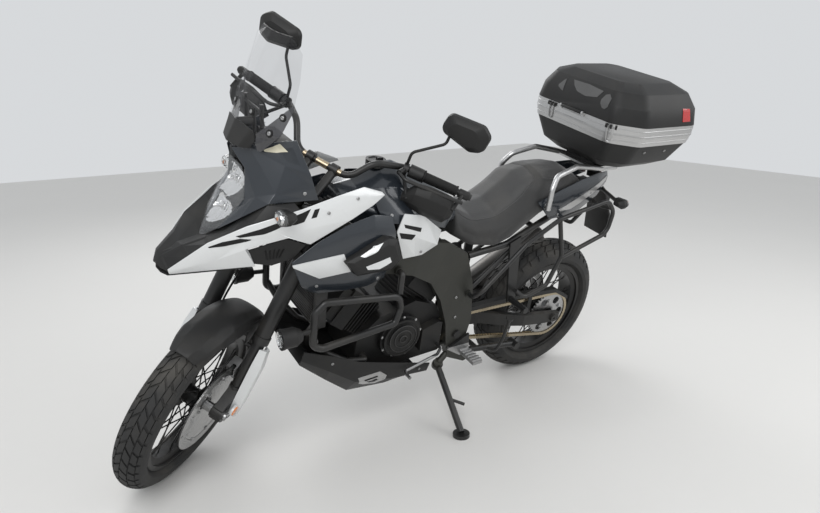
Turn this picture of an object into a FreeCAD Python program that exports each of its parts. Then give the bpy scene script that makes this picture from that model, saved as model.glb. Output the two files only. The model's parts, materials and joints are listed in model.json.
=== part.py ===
import FreeCAD, Part
import math
import os

import Sketcher
from FreeCAD import Placement, Rotation, Vector

# An adventure motorcycle, parked on its side stand with a top case on its rack.
# Millimetres. Each piece is drawn on the upright machine: x forward from the middle of
# the wheelbase, y to the rider's left, z up from the ground. Placements then turn the
# steering to its left stop and lean the whole machine over onto the stand.

SIZES = (
    ("wheelbase", 1555),
    ("rake_angle", 25.5),
    ("trail", 109),
    ("steer_lock_angle", 40),
    ("lean_angle", 14),
    ("origin_forward", -59),
    ("origin_left", 175.63),
    ("front_tyre_radius", 329),
    ("front_tyre_half", 55),
    ("front_bead_radius", 243),
    ("front_bead_half", 32),
    ("rear_tyre_radius", 321),
    ("rear_tyre_half", 75),
    ("rear_bead_radius", 218),
    ("rear_bead_half", 51),
    ("carcass_wall", 9),
    ("rim_wall", 5),
    ("rim_flange_height", 10),
    ("rim_well_depth", 20),
    ("spoke_radius", 2.2),
    ("spoke_pairs", 9),
    ("hub_flange_radius", 52),
    ("hub_barrel_radius", 30),
    ("front_hub_half", 42),
    ("rear_hub_half", 58),
    ("axle_radius", 10),
    ("axle_bore", 5),
    ("bearing_fit", 0.05),
    ("front_disc_radius", 155),
    ("front_disc_place", 71),
    ("disc_thickness", 5),
    ("disc_band", 34),
    ("disc_hole_radius", 4.5),
    ("disc_holes", 18),
    ("rear_disc_radius", 130),
    ("rear_disc_place", 78),
    ("sprocket_teeth", 41),
    ("drive_teeth", 17),
    ("chain_pitch", 15.875),
    ("chain_line", 92),
    ("drive_place", -132.5),
    ("drive_height", 395),
    ("chain_roller", 5),
    ("fork_spread", 105),
    ("fork_offset", -10),
    ("fork_tube_radius", 27),
    ("fork_slider_radius", 21.5),
    ("fork_top", 790),
    ("fork_seal", 262),
    ("clamp_low", 572),
    ("clamp_high", 752),
    ("clamp_thickness", 32),
    ("clamp_wall", 9),
    ("head_radius", 30),
    ("stem_radius", 16),
    ("bar_radius", 11.1),
    ("bar_height", 1059),
    ("bar_forward", 290),
    ("bar_half", 464),
    ("grip_radius", 17),
    ("panel_wall", 4),
    ("seat_gap", 0.3),
    ("running_gap", 5),
    ("frame_wall", 34),
    ("rack_tube_radius", 9),
    ("crash_tube_radius", 12.5),
    ("case_length", 440),
    ("case_width", 560),
    ("case_wall", 5),
    ("case_middle", 955),
    ("case_floor", 1030),
    ("case_band_low", 1150),
    ("case_band_high", 1224),
    ("case_top", 1360),
    ("stand_tube_radius", 13),
)

doc = FreeCAD.newDocument("adventure_motorcycle")
sheet = doc.addObject("Spreadsheet::Sheet", "sizes")


class Size:
    """A number from the sheet, kept together with the formula that gives it."""

    def __init__(self, value, formula):
        self.value = float(value)
        self.formula = formula

    def __float__(self):
        return self.value

    def __add__(self, other):
        return Size(self.value + float(other), "(%s + %s)" % (self.formula, text(other)))

    def __sub__(self, other):
        return Size(self.value - float(other), "(%s - %s)" % (self.formula, text(other)))

    def __mul__(self, other):
        return Size(self.value * float(other), "(%s * %s)" % (self.formula, text(other)))

    def __truediv__(self, other):
        return Size(self.value / float(other), "(%s / %s)" % (self.formula, text(other)))

    def __neg__(self):
        return Size(-self.value, "(-%s)" % self.formula)


def text(number):
    """The formula of a size, or a plain number as text."""
    return number.formula if isinstance(number, Size) else "%.6f" % number


class Sizes:
    """Every row of the table as an attribute."""


size = Sizes()
for row, (name, number) in enumerate(SIZES, start=1):
    sheet.set("A%d" % row, name)
    sheet.set("B%d" % row, str(number))
    sheet.setAlias("B%d" % row, name)
    setattr(size, name, Size(number, "sizes." + name))
doc.recompute()

X, Y, Z = Vector(1, 0, 0), Vector(0, 1, 0), Vector(0, 0, 1)


def vec(x, y, z):
    return Vector(float(x), float(y), float(z))


def move(x, y, z):
    return Placement(vec(x, y, z), Rotation())


def turn(axis, degrees, centre=Vector()):
    return Placement(Vector(), Rotation(axis, float(degrees)), centre)


# Steering geometry: the axis meets the ground ahead of the front axle by the trail.
rake = math.radians(float(size.rake_angle))
half_base = float(size.wheelbase) / 2
front_radius = float(size.front_tyre_radius)
steer_foot = vec(half_base + float(size.trail), 0, 0)
steer_up = vec(-math.sin(rake), 0, math.cos(rake))
steer_ahead = vec(math.cos(rake), 0, math.sin(rake))
front_axle = vec(half_base, 0, front_radius)
rear_axle = vec(-half_base, 0, size.rear_tyre_radius)
axle_along = (front_axle - steer_foot).dot(steer_up)
axle_offset = (front_axle - steer_foot).dot(steer_ahead)
axis_origin = steer_foot + steer_up * axle_along


def on_fork(along, left, ahead):
    """A point beside the steering axis, measured from the height of the front axle."""
    return axis_origin + steer_up * float(along) + steer_ahead * float(ahead) + Y * float(left)


def lowest(centre, axle, radius, crown):
    """The lowest point of a tyre whose tread is an arc of the crown radius."""
    return centre.z - (radius - crown) * math.sqrt(1 - axle.z ** 2) - crown


def rest_placement(steering):
    """The lean, pitch and height at which both tyres stand on the ground."""
    crown = float(size.rear_tyre_half)
    pitch, drop = 0.0, 0.0
    for attempt in range(20):
        rest = move(0, 0, crown + drop).multiply(turn(X, -size.lean_angle))
        rest = rest.multiply(move(0, 0, -crown)).multiply(turn(Y, math.degrees(pitch)))
        hub = rest.multiply(steering).multVec(front_axle)
        axle = rest.Rotation.multVec(steering.Rotation.multVec(Y))
        front = lowest(hub, axle, front_radius, float(size.front_tyre_half))
        axle = rest.Rotation.multVec(Y)
        rear = lowest(rest.multVec(rear_axle), axle, float(size.rear_tyre_radius), crown)
        pitch += (front - rear) / float(size.wheelbase)
        drop -= (front + rear) / 2
    return rest


STEERING = turn(steer_up, size.steer_lock_angle, steer_foot)
REST = move(-size.origin_forward, -size.origin_left, 0).multiply(rest_placement(STEERING))
STEERED = REST.multiply(STEERING)
FRONT_WHEEL = STEERED.multiply(move(front_axle.x, front_axle.y, front_axle.z))
REAR_WHEEL = REST.multiply(move(rear_axle.x, rear_axle.y, rear_axle.z))

parts = []


def keep(thing, label, placement):
    """Names a finished sub-part and sets it in its place."""
    thing.Label = label
    thing.Placement = placement
    parts.append(thing)
    return thing


def bind(thing, **sizes):
    for name, number in sizes.items():
        if isinstance(number, Size):
            thing.setExpression(name, number.formula)
        else:
            setattr(thing, name, number)
    return thing


def feature(label, shape, placement):
    """A sub-part whose shape is worked out here from the sheet's sizes."""
    thing = doc.addObject("Part::Feature", label)
    thing.Shape = shape
    return keep(thing, label, placement)


def arc_centre(start, end, radius):
    """The centre of an arc; a positive radius has it on the left of the run."""
    run = end - start
    half = run.Length / 2
    side = Vector(-run.y, run.x, 0).normalize()
    depth = math.sqrt(max(radius * radius - half * half, 0))
    return (start + end) * 0.5 + side * math.copysign(depth, radius)


def sketch(body, name, role, corners, arcs=None):
    """A closed outline of sizes on one of the body's own planes."""
    arcs = arcs or {}
    outline = body.newObject("Sketcher::SketchObject", name)
    plane = [item for item in body.Origin.OriginFeatures if item.Role == role][0]
    outline.AttachmentSupport = [(plane, "")]
    outline.MapMode = "FlatFace"
    spots = [vec(across, up, 0) for across, up in corners]
    ends = []
    for index, start in enumerate(spots):
        end = spots[(index + 1) % len(spots)]
        if index not in arcs:
            outline.addGeometry(Part.LineSegment(start, end))
            ends.append((1, 2))
            continue
        radius = float(arcs[index])
        centre = arc_centre(start, end, radius)
        angles = [math.atan2(spot.y - centre.y, spot.x - centre.x) for spot in (start, end)]
        if radius < 0:
            angles.reverse()
        circle = Part.Circle(centre, Z, abs(radius))
        outline.addGeometry(Part.ArcOfCircle(circle, angles[0], angles[1]))
        ends.append((1, 2) if radius > 0 else (2, 1))
    for index in range(len(spots)):
        follower = (index + 1) % len(spots)
        joint = Sketcher.Constraint("Coincident", index, ends[index][1], follower, ends[follower][0])
        outline.addConstraint(joint)
    for index, corner in enumerate(corners):
        for kind, number in zip(("DistanceX", "DistanceY"), corner):
            rule = Sketcher.Constraint(kind, -1, 1, index, ends[index][0], float(number))
            place = outline.addConstraint(rule)
            if isinstance(number, Size):
                outline.setExpression("Constraints[%d]" % place, number.formula)
    for index, radius in arcs.items():
        rule = Sketcher.Constraint("Radius", index, abs(float(radius)))
        place = outline.addConstraint(rule)
        if isinstance(radius, Size):
            outline.setExpression("Constraints[%d]" % place, "abs(%s)" % radius.formula)
    return outline


def revolved(name, corners, arcs=None):
    """A body turned about the y axis; its corners are (radius, distance to the left)."""
    body = doc.addObject("PartDesign::Body", name)
    outline = sketch(body, name + "_section", "XY_Plane", corners, arcs)
    spin = body.newObject("PartDesign::Revolution", name + "_spin")
    spin.Profile = outline
    spin.ReferenceAxis = (outline, ["V_Axis"])
    spin.Angle = 360
    doc.recompute()
    return body


def mirrored(thing):
    twin = doc.addObject("Part::Mirroring", thing.Name + "_right")
    twin.Source = thing
    twin.Normal = Y
    twin.Base = Vector()
    return twin


def group(label, things, placement):
    """Like pieces of one body as the solids of one node."""
    bundle = doc.addObject("Part::Compound", label)
    bundle.Links = things
    return keep(bundle, label, placement)


def both_sides(shape):
    """A piece and its mirror image on the other side of the machine."""
    return Part.makeCompound([shape, shape.mirror(Vector(), Y)])


def solids(shapes):
    return Part.makeCompound(shapes)


def fused(shapes):
    whole = shapes[0]
    if len(shapes) > 1:
        whole = whole.multiFuse(shapes[1:])
    return whole.removeSplitter()


def largest(shape):
    """The main solid of a piece that was trimmed, without its offcuts."""
    return max(shape.Solids, key=lambda solid: solid.Volume)


def seated(piece, carrier, outward):
    """A piece trimmed to stand off what carries it by the seat's gap."""
    return largest(piece.cut(carrier.translated(outward * float(size.seat_gap))))


def rounded(points, bend, closed=False):
    """Straight runs joined by tangent arcs no larger than the runs allow."""
    count = len(points)
    cuts = []
    for index in range(count):
        inner = closed or 0 < index < count - 1
        here = points[index]
        if not inner:
            cuts.append((here, None, here))
            continue
        back = points[index - 1] - here
        ahead = points[(index + 1) % count] - here
        angle = back.getAngle(ahead)
        reach = 0.45 * min(back.Length, ahead.Length)
        near = min(float(bend) / math.tan(angle / 2), reach)
        radius = near * math.tan(angle / 2)
        if angle > math.pi - 0.01 or near < 0.01:
            cuts.append((here, None, here))
            continue
        middle = (back.normalize() + ahead.normalize()).normalize()
        deep = here + middle * (radius / math.sin(angle / 2) - radius)
        cuts.append((here + back * near, deep, here + ahead * near))
    edges = []
    for index, (start, middle, end) in enumerate(cuts):
        if middle:
            edges.append(Part.Arc(start, middle, end).toShape())
        if index + 1 < count or closed:
            follower = cuts[(index + 1) % count][0]
            edges.append(Part.LineSegment(end, follower).toShape())
    return Part.Wire(edges)


def tube(points, radius, bend):
    """A round bar along straight runs and bends."""
    path = rounded(points, bend)
    first = path.Edges[0]
    spot = first.valueAt(first.FirstParameter)
    along = first.tangentAt(first.FirstParameter)
    ring = Part.Wire(Part.makeCircle(float(radius), spot, along))
    return path.makePipeShell([ring], True, False)


def hoop(points, radius, bend):
    """A round bar bent into a closed loop, joined in the middle of two of its runs."""
    half = len(points) // 2
    start = (points[0] + points[-1]) * 0.5
    middle = (points[half - 1] + points[half]) * 0.5
    first = tube([start] + points[:half] + [middle], radius, bend)
    second = tube([middle] + points[half:] + [start], radius, bend)
    return first.fuse(second)


def rod(start, end, radius):
    run = end - start
    return Part.makeCylinder(float(radius), run.Length, start, run)


def prism(points, depth):
    """A flat outline raised by a vector."""
    return Part.Face(Part.makePolygon(list(points) + [points[0]])).extrude(depth)


def loft(sections, ruled=True):
    return Part.makeLoft(sections, True, ruled)


def facets(corners):
    """One flat face of four corners, or two triangles where they don't lie flat."""
    first, second, third, fourth = corners
    normal = (second - first).cross(third - first)
    if normal.Length > 1e-6 and abs((fourth - first).dot(normal.normalize())) < 1e-5:
        pieces = [(first, second, third, fourth)]
    else:
        pieces = [(first, second, third), (first, third, fourth)]
    faces = []
    for piece in pieces:
        area = (piece[1] - piece[0]).cross(piece[2] - piece[0]).Length
        if area > 1e-6:
            faces.append(Part.Face(Part.makePolygon(list(piece) + [piece[0]])))
    return faces


def closed(faces):
    solid = Part.Solid(Part.Shell(faces))
    if solid.Volume < 0:
        solid.reverse()
    return solid


def skin(rows, inward):
    """A panel whose outer face runs through rows of points, thick along inward."""
    outer = [[vec(*point) for point in row] for row in rows]
    inner = [[point + inward for point in row] for row in outer]
    faces = []
    last_row, last_column = len(outer) - 1, len(outer[0]) - 1
    for row in range(last_row):
        for column in range(last_column):
            spots = ((row, column), (row, column + 1), (row + 1, column + 1), (row + 1, column))
            faces += facets([outer[i][j] for i, j in spots])
            faces += facets([inner[i][j] for i, j in reversed(spots)])
    for row in range(last_row):
        for column in (0, last_column):
            faces += facets([
                outer[row][column], outer[row + 1][column],
                inner[row + 1][column], inner[row][column],
            ])
    for column in range(last_column):
        for row in (0, last_row):
            faces += facets([
                outer[row][column], outer[row][column + 1],
                inner[row][column + 1], inner[row][column],
            ])
    return closed(faces)


def room(rows, shift, depth):
    """The space on one side of a panel's rows, to trim what seats on that panel."""
    moved = [[tuple(vec(*point) + shift) for point in row] for row in rows]
    return skin(moved, depth)


def clear_of(piece, neighbour):
    """A piece trimmed to the seat's gap on every side of a neighbour."""
    for way in (X, -X, Y, -Y, Z, -Z):
        piece = piece.cut(neighbour.translated(way * float(size.seat_gap)))
    return largest(piece)


def rings(sections):
    """A faceted solid through rings of corners, with flat or fanned ends."""
    loops = [[vec(*point) for point in section] for section in sections]
    count = len(loops[0])
    faces = []
    for loop, follower in zip(loops, loops[1:]):
        for index in range(count):
            turned = (index + 1) % count
            faces += facets([loop[index], loop[turned], follower[turned], follower[index]])
    for loop in (loops[0], loops[-1]):
        middle = Vector()
        for point in loop:
            middle += point * (1 / count)
        for index in range(count):
            corner = [loop[index], loop[(index + 1) % count], middle]
            faces.append(Part.Face(Part.makePolygon(corner + [corner[0]])))
    return closed(faces)


def tyre(name, radius, half, bead_radius, bead_half):
    """A hollow carcass: an arc of tread on the crown, and walls down to the beads."""
    wall = size.carcass_wall
    hip = radius - half
    heel = bead_radius + size.rim_flange_height + 3
    corners = [
        (bead_radius, bead_half),
        (heel, bead_half),
        (hip, half),
        (radius, 0.0),
        (hip, -half),
        (heel, -bead_half),
        (bead_radius, -bead_half),
        (bead_radius, wall - bead_half),
        (heel, wall - bead_half),
        (hip, wall - half),
        (radius - wall, 0.0),
        (hip, half - wall),
        (heel, bead_half - wall),
        (bead_radius, bead_half - wall),
    ]
    arcs = {2: -half, 3: -half, 9: half - wall, 10: half - wall}
    return revolved(name, corners, arcs)


def rim(name, bead_radius, bead_half):
    """A deep-bedded rim ring, its flanges outside the tyre's beads."""
    wall = size.rim_wall
    lip = bead_half + 0.3
    seat = bead_radius - 0.3
    bed = seat - size.rim_well_depth
    corners = [
        (bead_radius + size.rim_flange_height, lip),
        (bead_radius + size.rim_flange_height, lip + wall),
        (seat - wall, lip + wall),
        (seat - wall, bead_half - 4),
        (bed - wall, bead_half - 11),
        (bed - wall, -(bead_half - 11)),
        (seat - wall, -(bead_half - 4)),
        (seat - wall, -(lip + wall)),
        (bead_radius + size.rim_flange_height, -(lip + wall)),
        (bead_radius + size.rim_flange_height, -lip),
        (seat, -lip),
        (seat, -(bead_half - 10)),
        (bed, -(bead_half - 16)),
        (bed, bead_half - 16),
        (seat, bead_half - 10),
        (seat, lip),
    ]
    return revolved(name, corners)


def hub(name, half, flange_place):
    """A barrel with two spoke flanges, bored for its axle."""
    bore = size.axle_radius + size.bearing_fit
    corners = [
        (bore, half),
        (size.hub_barrel_radius - 4, half),
        (size.hub_barrel_radius + 6, flange_place + 5),
        (size.hub_flange_radius, flange_place + 5),
        (size.hub_flange_radius, flange_place - 5),
        (size.hub_barrel_radius + 4, flange_place - 7),
        (size.hub_barrel_radius, 0.0),
        (size.hub_barrel_radius + 4, -(flange_place - 7)),
        (size.hub_flange_radius, -(flange_place - 5)),
        (size.hub_flange_radius, -(flange_place + 5)),
        (size.hub_barrel_radius + 6, -(flange_place + 5)),
        (size.hub_barrel_radius - 4, -half),
        (bore, -half),
    ]
    return revolved(name, corners)


def spoked_wheel(label, half, flange_place, bead_radius, bead_half, placement):
    """Rim, hub and wire spokes, each pair leaving one flange in opposite directions."""
    bars = [
        hub(label + "_hub", half, flange_place).Shape,
        rim(label + "_rim", bead_radius, bead_half).Shape,
    ]
    step = 360 / float(size.spoke_pairs)
    reach = float(bead_radius - size.rim_well_depth - size.rim_wall) + 2
    start_radius = float(size.hub_flange_radius) - 6
    for index in range(int(float(size.spoke_pairs))):
        for side in (1, -1):
            for lean in (1, -1):
                inner = math.radians(step * (index + (0.25 if side > 0 else 0.75)))
                outer = inner + math.radians(lean * 42)
                root = side * (float(flange_place) + 3 * lean)
                head = side * (5 + 3 * lean)
                start = vec(start_radius * math.cos(inner), root, start_radius * math.sin(inner))
                end = vec(reach * math.cos(outer), head, reach * math.sin(outer))
                bars.append(rod(start, end, size.spoke_radius))
    return feature(label, fused(bars), placement)


def disc(name, radius, place):
    """A drilled brake disc on its spider, beside the wheel's middle plane."""
    inner = radius - size.disc_band
    half = size.disc_thickness / 2
    corners = [
        (radius, place + half),
        (inner, place + half),
        (inner, place - half),
        (radius, place - half),
    ]
    body = revolved(name, corners)
    holes = body.newObject("Sketcher::SketchObject", name + "_hole")
    plane = [item for item in body.Origin.OriginFeatures if item.Role == "XZ_Plane"][0]
    holes.AttachmentSupport = [(plane, "")]
    holes.MapMode = "FlatFace"
    centre = radius - size.disc_band * 0.35
    holes.addGeometry(Part.Circle(vec(centre, 0, 0), Z, float(size.disc_hole_radius)))
    across = holes.addConstraint(Sketcher.Constraint("DistanceX", -1, 1, 0, 3, float(centre)))
    holes.setExpression("Constraints[%d]" % across, centre.formula)
    holes.addConstraint(Sketcher.Constraint("PointOnObject", 0, 3, -1))
    girth = holes.addConstraint(Sketcher.Constraint("Radius", 0, float(size.disc_hole_radius)))
    holes.setExpression("Constraints[%d]" % girth, size.disc_hole_radius.formula)
    pocket = body.newObject("PartDesign::Pocket", name + "_drill")
    pocket.Profile = holes
    pocket.Midplane = True
    bind(pocket, Length=(place + size.disc_thickness) * 2)
    doc.recompute()
    ring = body.newObject("PartDesign::PolarPattern", name + "_ring")
    ring.Originals = [pocket]
    ring.Axis = (holes, ["V_Axis"])
    ring.Angle = 360
    bind(ring, Occurrences=size.disc_holes)
    body.Tip = ring
    doc.recompute()
    return body


def spider(name, radius, place, half):
    """The carrier between a disc's band and the hub's flange."""
    outer = radius - size.disc_band - 1.5
    corners = [
        (outer, place + 1.5),
        (outer, place - 1.5),
        (size.hub_barrel_radius + 12, half + 2),
        (size.hub_barrel_radius - 6, half + 2),
        (size.hub_barrel_radius - 6, half + 6),
        (size.hub_barrel_radius + 12, half + 6),
    ]
    return revolved(name, corners)


doc.recompute()
# Front wheel, turned with the steering.
front_flange = size.front_hub_half - 12
tread = tyre(
    "front_carcass", size.front_tyre_radius, size.front_tyre_half,
    size.front_bead_radius, size.front_bead_half,
)
keep(tread, "front_tyre", FRONT_WHEEL)
spoked_wheel(
    "front_spoked_wheel", size.front_hub_half, front_flange,
    size.front_bead_radius, size.front_bead_half, FRONT_WHEEL,
)
band = disc("front_band", size.front_disc_radius, size.front_disc_place)
carrier = spider(
    "front_spider", size.front_disc_radius, size.front_disc_place, size.front_hub_half,
)
group("front_discs", [band, carrier, mirrored(band), mirrored(carrier)], FRONT_WHEEL)

# Rear wheel.
rear_flange = size.rear_hub_half - 20
tread = tyre(
    "rear_carcass", size.rear_tyre_radius, size.rear_tyre_half,
    size.rear_bead_radius, size.rear_bead_half,
)
keep(tread, "rear_tyre", REAR_WHEEL)
spoked_wheel(
    "rear_spoked_wheel", size.rear_hub_half, rear_flange,
    size.rear_bead_radius, size.rear_bead_half, REAR_WHEEL,
)
band = mirrored(disc("rear_band", size.rear_disc_radius, size.rear_disc_place))
carrier = mirrored(
    spider("rear_spider", size.rear_disc_radius, size.rear_disc_place, size.rear_hub_half),
)
group("rear_disc", [band, carrier], REAR_WHEEL)


def pitch_radius(teeth):
    return float(size.chain_pitch) / 2 / math.sin(math.pi / float(teeth))


def toothed(teeth, thickness):
    """A chain wheel about the y axis: a round seat between each two pointed teeth."""
    count = int(float(teeth))
    round_pitch = pitch_radius(teeth)
    points = []
    for index in range(count):
        for part, grow in ((0.0, -5.0), (0.22, -3.6), (0.42, 4.6), (0.58, 4.6), (0.78, -3.6)):
            angle = 2 * math.pi * (index + part) / count
            reach = round_pitch + grow
            points.append(vec(reach * math.cos(angle), -thickness / 2, reach * math.sin(angle)))
    return prism(points, Y * thickness)


sprocket_place = float(size.chain_line)
sprocket = toothed(size.sprocket_teeth, 6.0)
window_ring = pitch_radius(size.sprocket_teeth) * 0.68
window_count = 6
sprocket_bore = float(size.hub_barrel_radius) - 4
sprocket = sprocket.cut(Part.makeCylinder(sprocket_bore, 40, -Y * 20, Y))
for index in range(window_count):
    angle = 2 * math.pi * index / window_count
    centre = vec(window_ring * math.cos(angle), -20, window_ring * math.sin(angle))
    sprocket = sprocket.cut(Part.makeCylinder(18, 40, centre, Y))
carrier_start = float(size.rear_hub_half) + 0.3
carrier = Part.makeCylinder(52, sprocket_place - 3 - carrier_start, Y * carrier_start, Y)
carrier = carrier.cut(Part.makeCylinder(sprocket_bore, 200, Y * 0, Y))
sprocket.translate(Y * sprocket_place)
feature("rear_sprocket", fused([sprocket, carrier]), REAR_WHEEL)


def chain_loop():
    """Link joints along two straight runs and two arcs, and whether each is on a run."""
    big = pitch_radius(size.sprocket_teeth)
    small = pitch_radius(size.drive_teeth)
    rear = vec(rear_axle.x, 0, rear_axle.z)
    front = vec(size.drive_place, 0, size.drive_height)
    run = front - rear
    slope = math.atan2(run.z, run.x)
    open_angle = math.acos((big - small) / run.Length)
    straight = math.sqrt(run.Length ** 2 - (big - small) ** 2)
    front_arc = 2 * open_angle * small
    rear_arc = 2 * (math.pi - open_angle) * big
    whole = 2 * straight + front_arc + rear_arc
    count = 2 * round(whole / float(size.chain_pitch) / 2)

    def around(centre, radius, angle):
        return centre + vec(radius * math.cos(angle), 0, radius * math.sin(angle))

    top, low = slope + open_angle, slope - open_angle
    top_run = (around(rear, big, top), around(front, small, top))
    low_run = (around(front, small, low), around(rear, big, low))
    joints = []
    for index in range(count):
        travel = whole * index / count
        if travel < straight:
            joints.append((top_run[0] + (top_run[1] - top_run[0]) * (travel / straight), True))
            continue
        travel -= straight
        if travel < front_arc:
            joints.append((around(front, small, top - travel / small), False))
            continue
        travel -= front_arc
        if travel < straight:
            joints.append((low_run[0] + (low_run[1] - low_run[0]) * (travel / straight), True))
            continue
        travel -= straight
        joints.append((around(rear, big, low - travel / big), False))
    return joints


def chain():
    """Two bands of waisted plates, with rollers between them on the straight runs.

    Where the chain wraps a sprocket the teeth fill the space between the plates.
    """
    joints = chain_loop()
    points = [joint[0] for joint in joints]
    waist, girth = 5.4, 7.2
    half_gap, plate = 5.6, 1.4
    outer, inner = [], []
    for index, here in enumerate(points):
        follower = points[(index + 1) % len(points)]
        across = (follower - points[index - 1]).normalize().cross(Y)
        ahead = (follower + here) * 0.5
        outer += [here + across * girth, ahead + across * waist]
        inner += [here - across * girth, ahead - across * waist]
    line = float(size.chain_line)
    pieces = []
    for place in (line - half_gap - plate, line + half_gap):
        band = prism(outer, Y * plate).cut(prism(inner, Y * plate))
        band.translate(Y * place)
        pieces.append(band)
    for index, (here, on_run) in enumerate(joints):
        beside = [joints[(index + step) % len(joints)][1] for step in (-3, -2, -1, 1, 2, 3)]
        if not on_run or not all(beside):
            continue
        start = here + Y * (line - half_gap - plate / 2)
        pieces.append(Part.makeCylinder(float(size.chain_roller), 2 * half_gap + plate, start, Y))
    return fused(pieces)


feature("drive_chain", chain(), REST)

# Fork, drawn along the steering axis: along it, to the left, ahead of it.
spread = float(size.fork_spread)
ahead = float(size.fork_offset)
tube_radius = float(size.fork_tube_radius)
slider_radius = float(size.fork_slider_radius)
wall = float(size.clamp_wall)


def clamp(low, tall):
    """A bridge that grips both fork tubes and carries the stem between them."""
    lobe = tube_radius + wall
    nose, heel = 30, 34
    pieces = []
    for side in (1, -1):
        foot = on_fork(low, side * spread, ahead)
        pieces.append(Part.makeCylinder(lobe, tall, foot, steer_up))
    waist = [
        on_fork(low, spread, ahead + lobe * 0.75), on_fork(low, 24, nose),
        on_fork(low, -24, nose), on_fork(low, -spread, ahead + lobe * 0.75),
        on_fork(low, -spread, ahead - lobe * 0.8), on_fork(low, -heel, -heel),
        on_fork(low, heel, -heel), on_fork(low, spread, ahead - lobe * 0.8),
    ]
    pieces.append(prism(waist, steer_up * tall))
    whole = fused(pieces)
    for side in (1, -1):
        foot = on_fork(low - 1, side * spread, ahead)
        whole = whole.cut(Part.makeCylinder(tube_radius + 0.1, tall + 2, foot, steer_up))
    return whole


low_clamp = clamp(float(size.clamp_low), float(size.clamp_thickness))
high_clamp = clamp(float(size.clamp_high), float(size.clamp_thickness) * 0.8)
stem = rod(on_fork(size.clamp_low + 5, 0, 0), on_fork(size.clamp_high + 5, 0, 0), size.stem_radius)
riser_foot = float(size.clamp_high) + float(size.clamp_thickness) * 0.8
risers = []
riser_place = 45
bar_middle = vec(size.bar_forward, 0, size.bar_height)
for side in (1, -1):
    foot = on_fork(riser_foot - 1, side * riser_place, -16)
    top = bar_middle + Y * (side * riser_place) - steer_up * 6
    risers.append(rod(foot, top, 15))
    holder = Part.makeCylinder(19, 26, bar_middle + Y * (side * riser_place - 13), Y)
    risers.append(holder)
yoke = fused([low_clamp, high_clamp, stem] + risers)
yoke = yoke.cut(Part.makeCylinder(float(size.bar_radius) + 0.05, 200, bar_middle - Y * 100, Y))
feature("fork_yokes", yoke, STEERED)

tubes, sliders = [], []
guard_seat = spread + tube_radius + 4.2
stay_along = 232
foot_outline = ((-18, ahead - 22), (62, ahead - 22), (84, ahead + 20), (20, 64), (-22, 60))
for side in (1, -1):
    foot = on_fork(size.fork_seal, side * spread, ahead)
    tall = float(size.fork_top - size.fork_seal)
    outer = Part.makeCylinder(tube_radius, tall, foot, steer_up)
    seal = Part.makeCylinder(tube_radius + 3, 26, foot, steer_up)
    cap_foot = on_fork(float(size.fork_top), side * spread, ahead)
    cap = Part.makeCylinder(tube_radius - 6, 8, cap_foot, steer_up)
    bore = Part.makeCylinder(slider_radius + 0.1, tall - 60, foot, steer_up)
    tubes.append(fused([outer, seal, cap]).cut(bore))
    low = on_fork(-30, side * spread, ahead)
    slider = Part.makeCylinder(slider_radius, float(size.fork_seal) + 150, low, steer_up)
    lug_low = on_fork(-20, side * spread, ahead)
    lug = Part.makeCylinder(slider_radius + 3.5, 110, lug_low, steer_up)
    boss = Part.makeCylinder(25, 44, front_axle + Y * (side * spread - 22), Y)
    foot_half = 18
    foot = prism(
        [on_fork(along, side * spread - foot_half, forward) for along, forward in foot_outline],
        Y * 2 * foot_half,
    )
    pads = [
        rod(on_fork(along, side * spread, ahead), on_fork(along, side * guard_seat, ahead), 6)
        for along in (20, 200)
    ]
    stay = rod(on_fork(stay_along, side * spread, ahead), on_fork(stay_along, side * 70, ahead), 8)
    leg = fused([slider, lug, boss, foot, stay] + pads)
    leg = leg.cut(Part.makeCylinder(float(size.axle_radius), 400, front_axle - Y * 200, Y))
    for place in (side * (spread - 22) - side * 15, side * (spread + 22) + side * 15):
        leg = leg.cut(Part.makeCylinder(20, 30, front_axle + Y * (place - 15), Y))
    sliders.append(leg)
feature("fork_tubes", solids(tubes), STEERED)
feature("fork_sliders", solids(sliders), STEERED)

axle_half = spread + 31
axle = Part.makeCylinder(float(size.axle_radius), 2 * axle_half, front_axle - Y * axle_half, Y)
for side in (1, -1):
    head = Part.makeCylinder(15, 8, front_axle + Y * (side * (spread + 26.3) - 4), Y)
    axle = axle.fuse(head)
for side in (1, -1):
    inner = float(size.front_hub_half) + 7
    spacer_end = spread - 22.3
    spacer_place = inner if side > 0 else -spacer_end
    spacer = Part.makeCylinder(17, spacer_end - inner, front_axle + Y * spacer_place, Y)
    axle = axle.fuse(spacer)
axle = axle.removeSplitter()
axle = axle.cut(Part.makeCylinder(float(size.axle_bore), 400, front_axle - Y * 200, Y))
feature("front_axle", axle, STEERED)


def fender_row(angle, reach, width, drop):
    """One hoop of the mudguard around the wheel, at an angle from straight up."""
    out = vec(math.sin(angle), 0, math.cos(angle))
    crown = front_axle + out * reach
    shoulder = front_axle + out * (reach - 16)
    edge = front_axle + out * (reach - drop)
    row = [
        edge + Y * width, shoulder + Y * (width * 0.86), crown + Y * (width * 0.42),
        crown - Y * (width * 0.42), shoulder - Y * (width * 0.86), edge - Y * width,
    ]
    inner = [
        point - out * 4 - Y * (4 if index == 0 else -4 if index == 5 else 0)
        for index, point in enumerate(row)
    ]
    inner[0] = edge + Y * (width - 4)
    inner[5] = edge - Y * (width - 4)
    return Part.makePolygon(row + inner[::-1] + [row[0]])


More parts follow.
